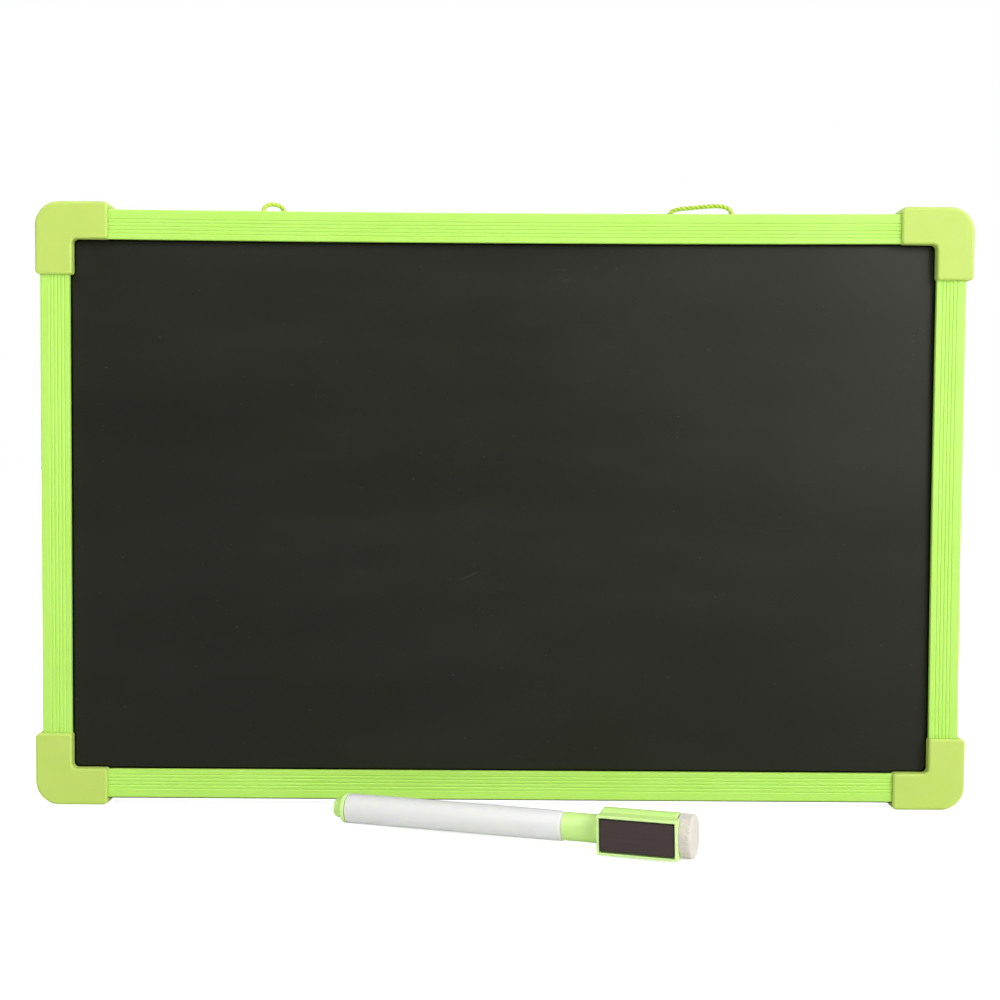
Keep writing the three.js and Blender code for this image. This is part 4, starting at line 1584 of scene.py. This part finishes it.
@dataclass(frozen=True)
class SoftBox:
    """A large soft lamp: degrees to the right of the board's front and up, metres away, size, watts."""

    name: str
    aside: float
    above: float
    distance: float
    size: tuple[float, float]
    power: float

    def build(self, target: Vector) -> None:
        """Makes the lamp, looking at a point."""
        aside, above = math.radians(self.aside), math.radians(self.above)
        level = math.cos(above)
        way = Vector((math.sin(aside) * level, -math.cos(aside) * level, math.sin(above)))
        lamp = bpy.data.lights.new(self.name, "AREA")
        lamp.shape = "RECTANGLE"
        lamp.size, lamp.size_y = self.size
        lamp.energy = self.power
        holder = bpy.data.objects.new(self.name, lamp)
        holder.location = target + way * self.distance
        holder.rotation_euler = (-way).to_track_quat("-Z", "Y").to_euler()
        bpy.context.scene.collection.objects.link(holder)


@dataclass
class Studio:
    """Camera, lamps, floor and white surround. Angles are in degrees."""

    board: Board
    lens: float = 50.04
    sensor: float = 36.0
    nearest: float = 0.01
    aside: float = -0.45 * MM
    distance: float = 459.3 * MM
    above_middle: float = 20.2 * MM
    pitch: float = 2.175
    yaw: float = -0.02
    roll: float = 0.36
    floor_reach: float = 6.0
    paper: tuple[Colour, Colour] = ((0.93, 0.93, 0.93), (0.95, 0.95, 0.95))
    mirrored: Colour = (0.3, 0.3, 0.3)
    lift: float = 0.8
    lift_reach: tuple[float, float] = (0.22, 0.6)
    front_light: float = 0.06
    front_to_back: tuple[float, float] = (-0.4, 0.3)

    def camera(self) -> None:
        """Stands the camera in front of the board, a little above its middle, looking a little down."""
        pitch, yaw, roll = (math.radians(a) for a in (self.pitch, self.yaw, self.roll))
        ahead = Vector((math.sin(yaw) * math.cos(pitch), math.cos(yaw) * math.cos(pitch), -math.sin(pitch)))
        level = Vector((math.cos(yaw), -math.sin(yaw), 0))
        upright = level.cross(ahead)
        right = level * math.cos(roll) + upright * math.sin(roll)
        up = upright * math.cos(roll) - level * math.sin(roll)
        turn = Matrix((right, up, -ahead)).transposed().to_4x4()
        height = self.board.height / 2 + self.above_middle
        turn.translation = Vector((self.aside, self.board.front - self.distance, height))
        lens = bpy.data.cameras.new("camera")
        lens.lens = self.lens
        lens.sensor_width = self.sensor
        lens.clip_start = self.nearest
        camera = bpy.data.objects.new("camera", lens)
        camera.matrix_world = turn
        bpy.context.scene.collection.objects.link(camera)
        bpy.context.scene.camera = camera

    def floor(self) -> None:
        """A pale floor, whose paper has a barely seen tooth and fades to white far away.

        It gives the camera some light of its own, lift near the board and full far away. Mirrored in
        the chalk face it looks darker than to the camera, so that the face stays dark.
        """
        reach = np.linspace(-self.floor_reach, self.floor_reach, 9)
        x, y = np.meshgrid(reach, reach)
        sweep = make_piece("floor", [Grid(np.stack([x, y, np.zeros_like(x)], -1))])
        if sweep.data.polygons[0].normal.z < 0:
            sweep.data.flip_normals()
        material, sheet, shader = new_material("floor_paper")
        place = sheet.add("TexCoord").outputs["Object"]
        path = sheet.add("LightPath").outputs
        paper = sheet.mix(sheet.noise(place, 350.0, 3.0), *self.paper)
        tone = sheet.mix(path["Is Glossy Ray"], paper, self.mirrored)
        away = sheet.add("VectorMath", {0: place}, operation="LENGTH").outputs["Value"]
        far = sheet.remap(away, *self.lift_reach, self.lift, 1.0)
        glow = sheet.math("MULTIPLY", path["Is Camera Ray"], far)
        sheet.feed(shader, {
            "Base Color": tone, "Roughness": 0.9, "Specular IOR Level": 0.1,
            "Emission Color": (1.0, 1.0, 1.0, 1.0), "Emission Strength": glow,
        })
        sweep.data.materials.append(material)

    def surround(self) -> None:
        """White behind the board, dimmer behind the camera, so that the chalk face stays dark.

        The strength follows the direction's Y: full at the back, low in front.
        """
        world = bpy.data.worlds.new("surround")
        world.use_nodes = True
        bpy.context.scene.world = world
        sheet = Sheet(world.node_tree)
        background = world.node_tree.nodes["Background"]
        direction = sheet.add("TexCoord").outputs["Generated"]
        back = sheet.add("SeparateXYZ", {0: direction}).outputs["Y"]
        lit = sheet.remap(back, *self.front_to_back, self.front_light, 1.0)
        seen = sheet.add("LightPath").outputs["Is Camera Ray"]
        strength = sheet.math("MAXIMUM", lit, seen)
        sheet.feed(background, {"Color": (1.0, 1.0, 1.0, 1.0), "Strength": strength})

    def build(self) -> None:
        """Sets up the whole studio."""
        self.camera()
        self.floor()
        self.surround()
        middle = Vector((0.0, self.board.front, self.board.height / 2))
        for lamp in (
            SoftBox("key", 45, 25, 2.4, (1.2, 1.2), 44.0),
            SoftBox("second", -30, 40, 2.4, (1.2, 1.2), 15.0),
            SoftBox("overhead", -10, 75, 1.3, (1.6, 0.9), 5.5),
        ):
            lamp.build(middle)
        bpy.context.scene.view_settings.view_transform = "Standard"
        bpy.context.scene.view_settings.look = "None"


def main() -> None:
    """Builds the studio, the board and the marker in order."""
    logging.basicConfig(level=logging.INFO, format="%(name)s: %(message)s")
    board = Board()
    Studio(board).build()
    HangingCord(board).build()
    FrameRails().build()
    CornerCaps(board).build()
    Panel().build()
    place = MarkerPlace().matrix(board)
    Marker(place).build()
    MarkerCap(place).build()


if __name__ == "__main__":
    main()
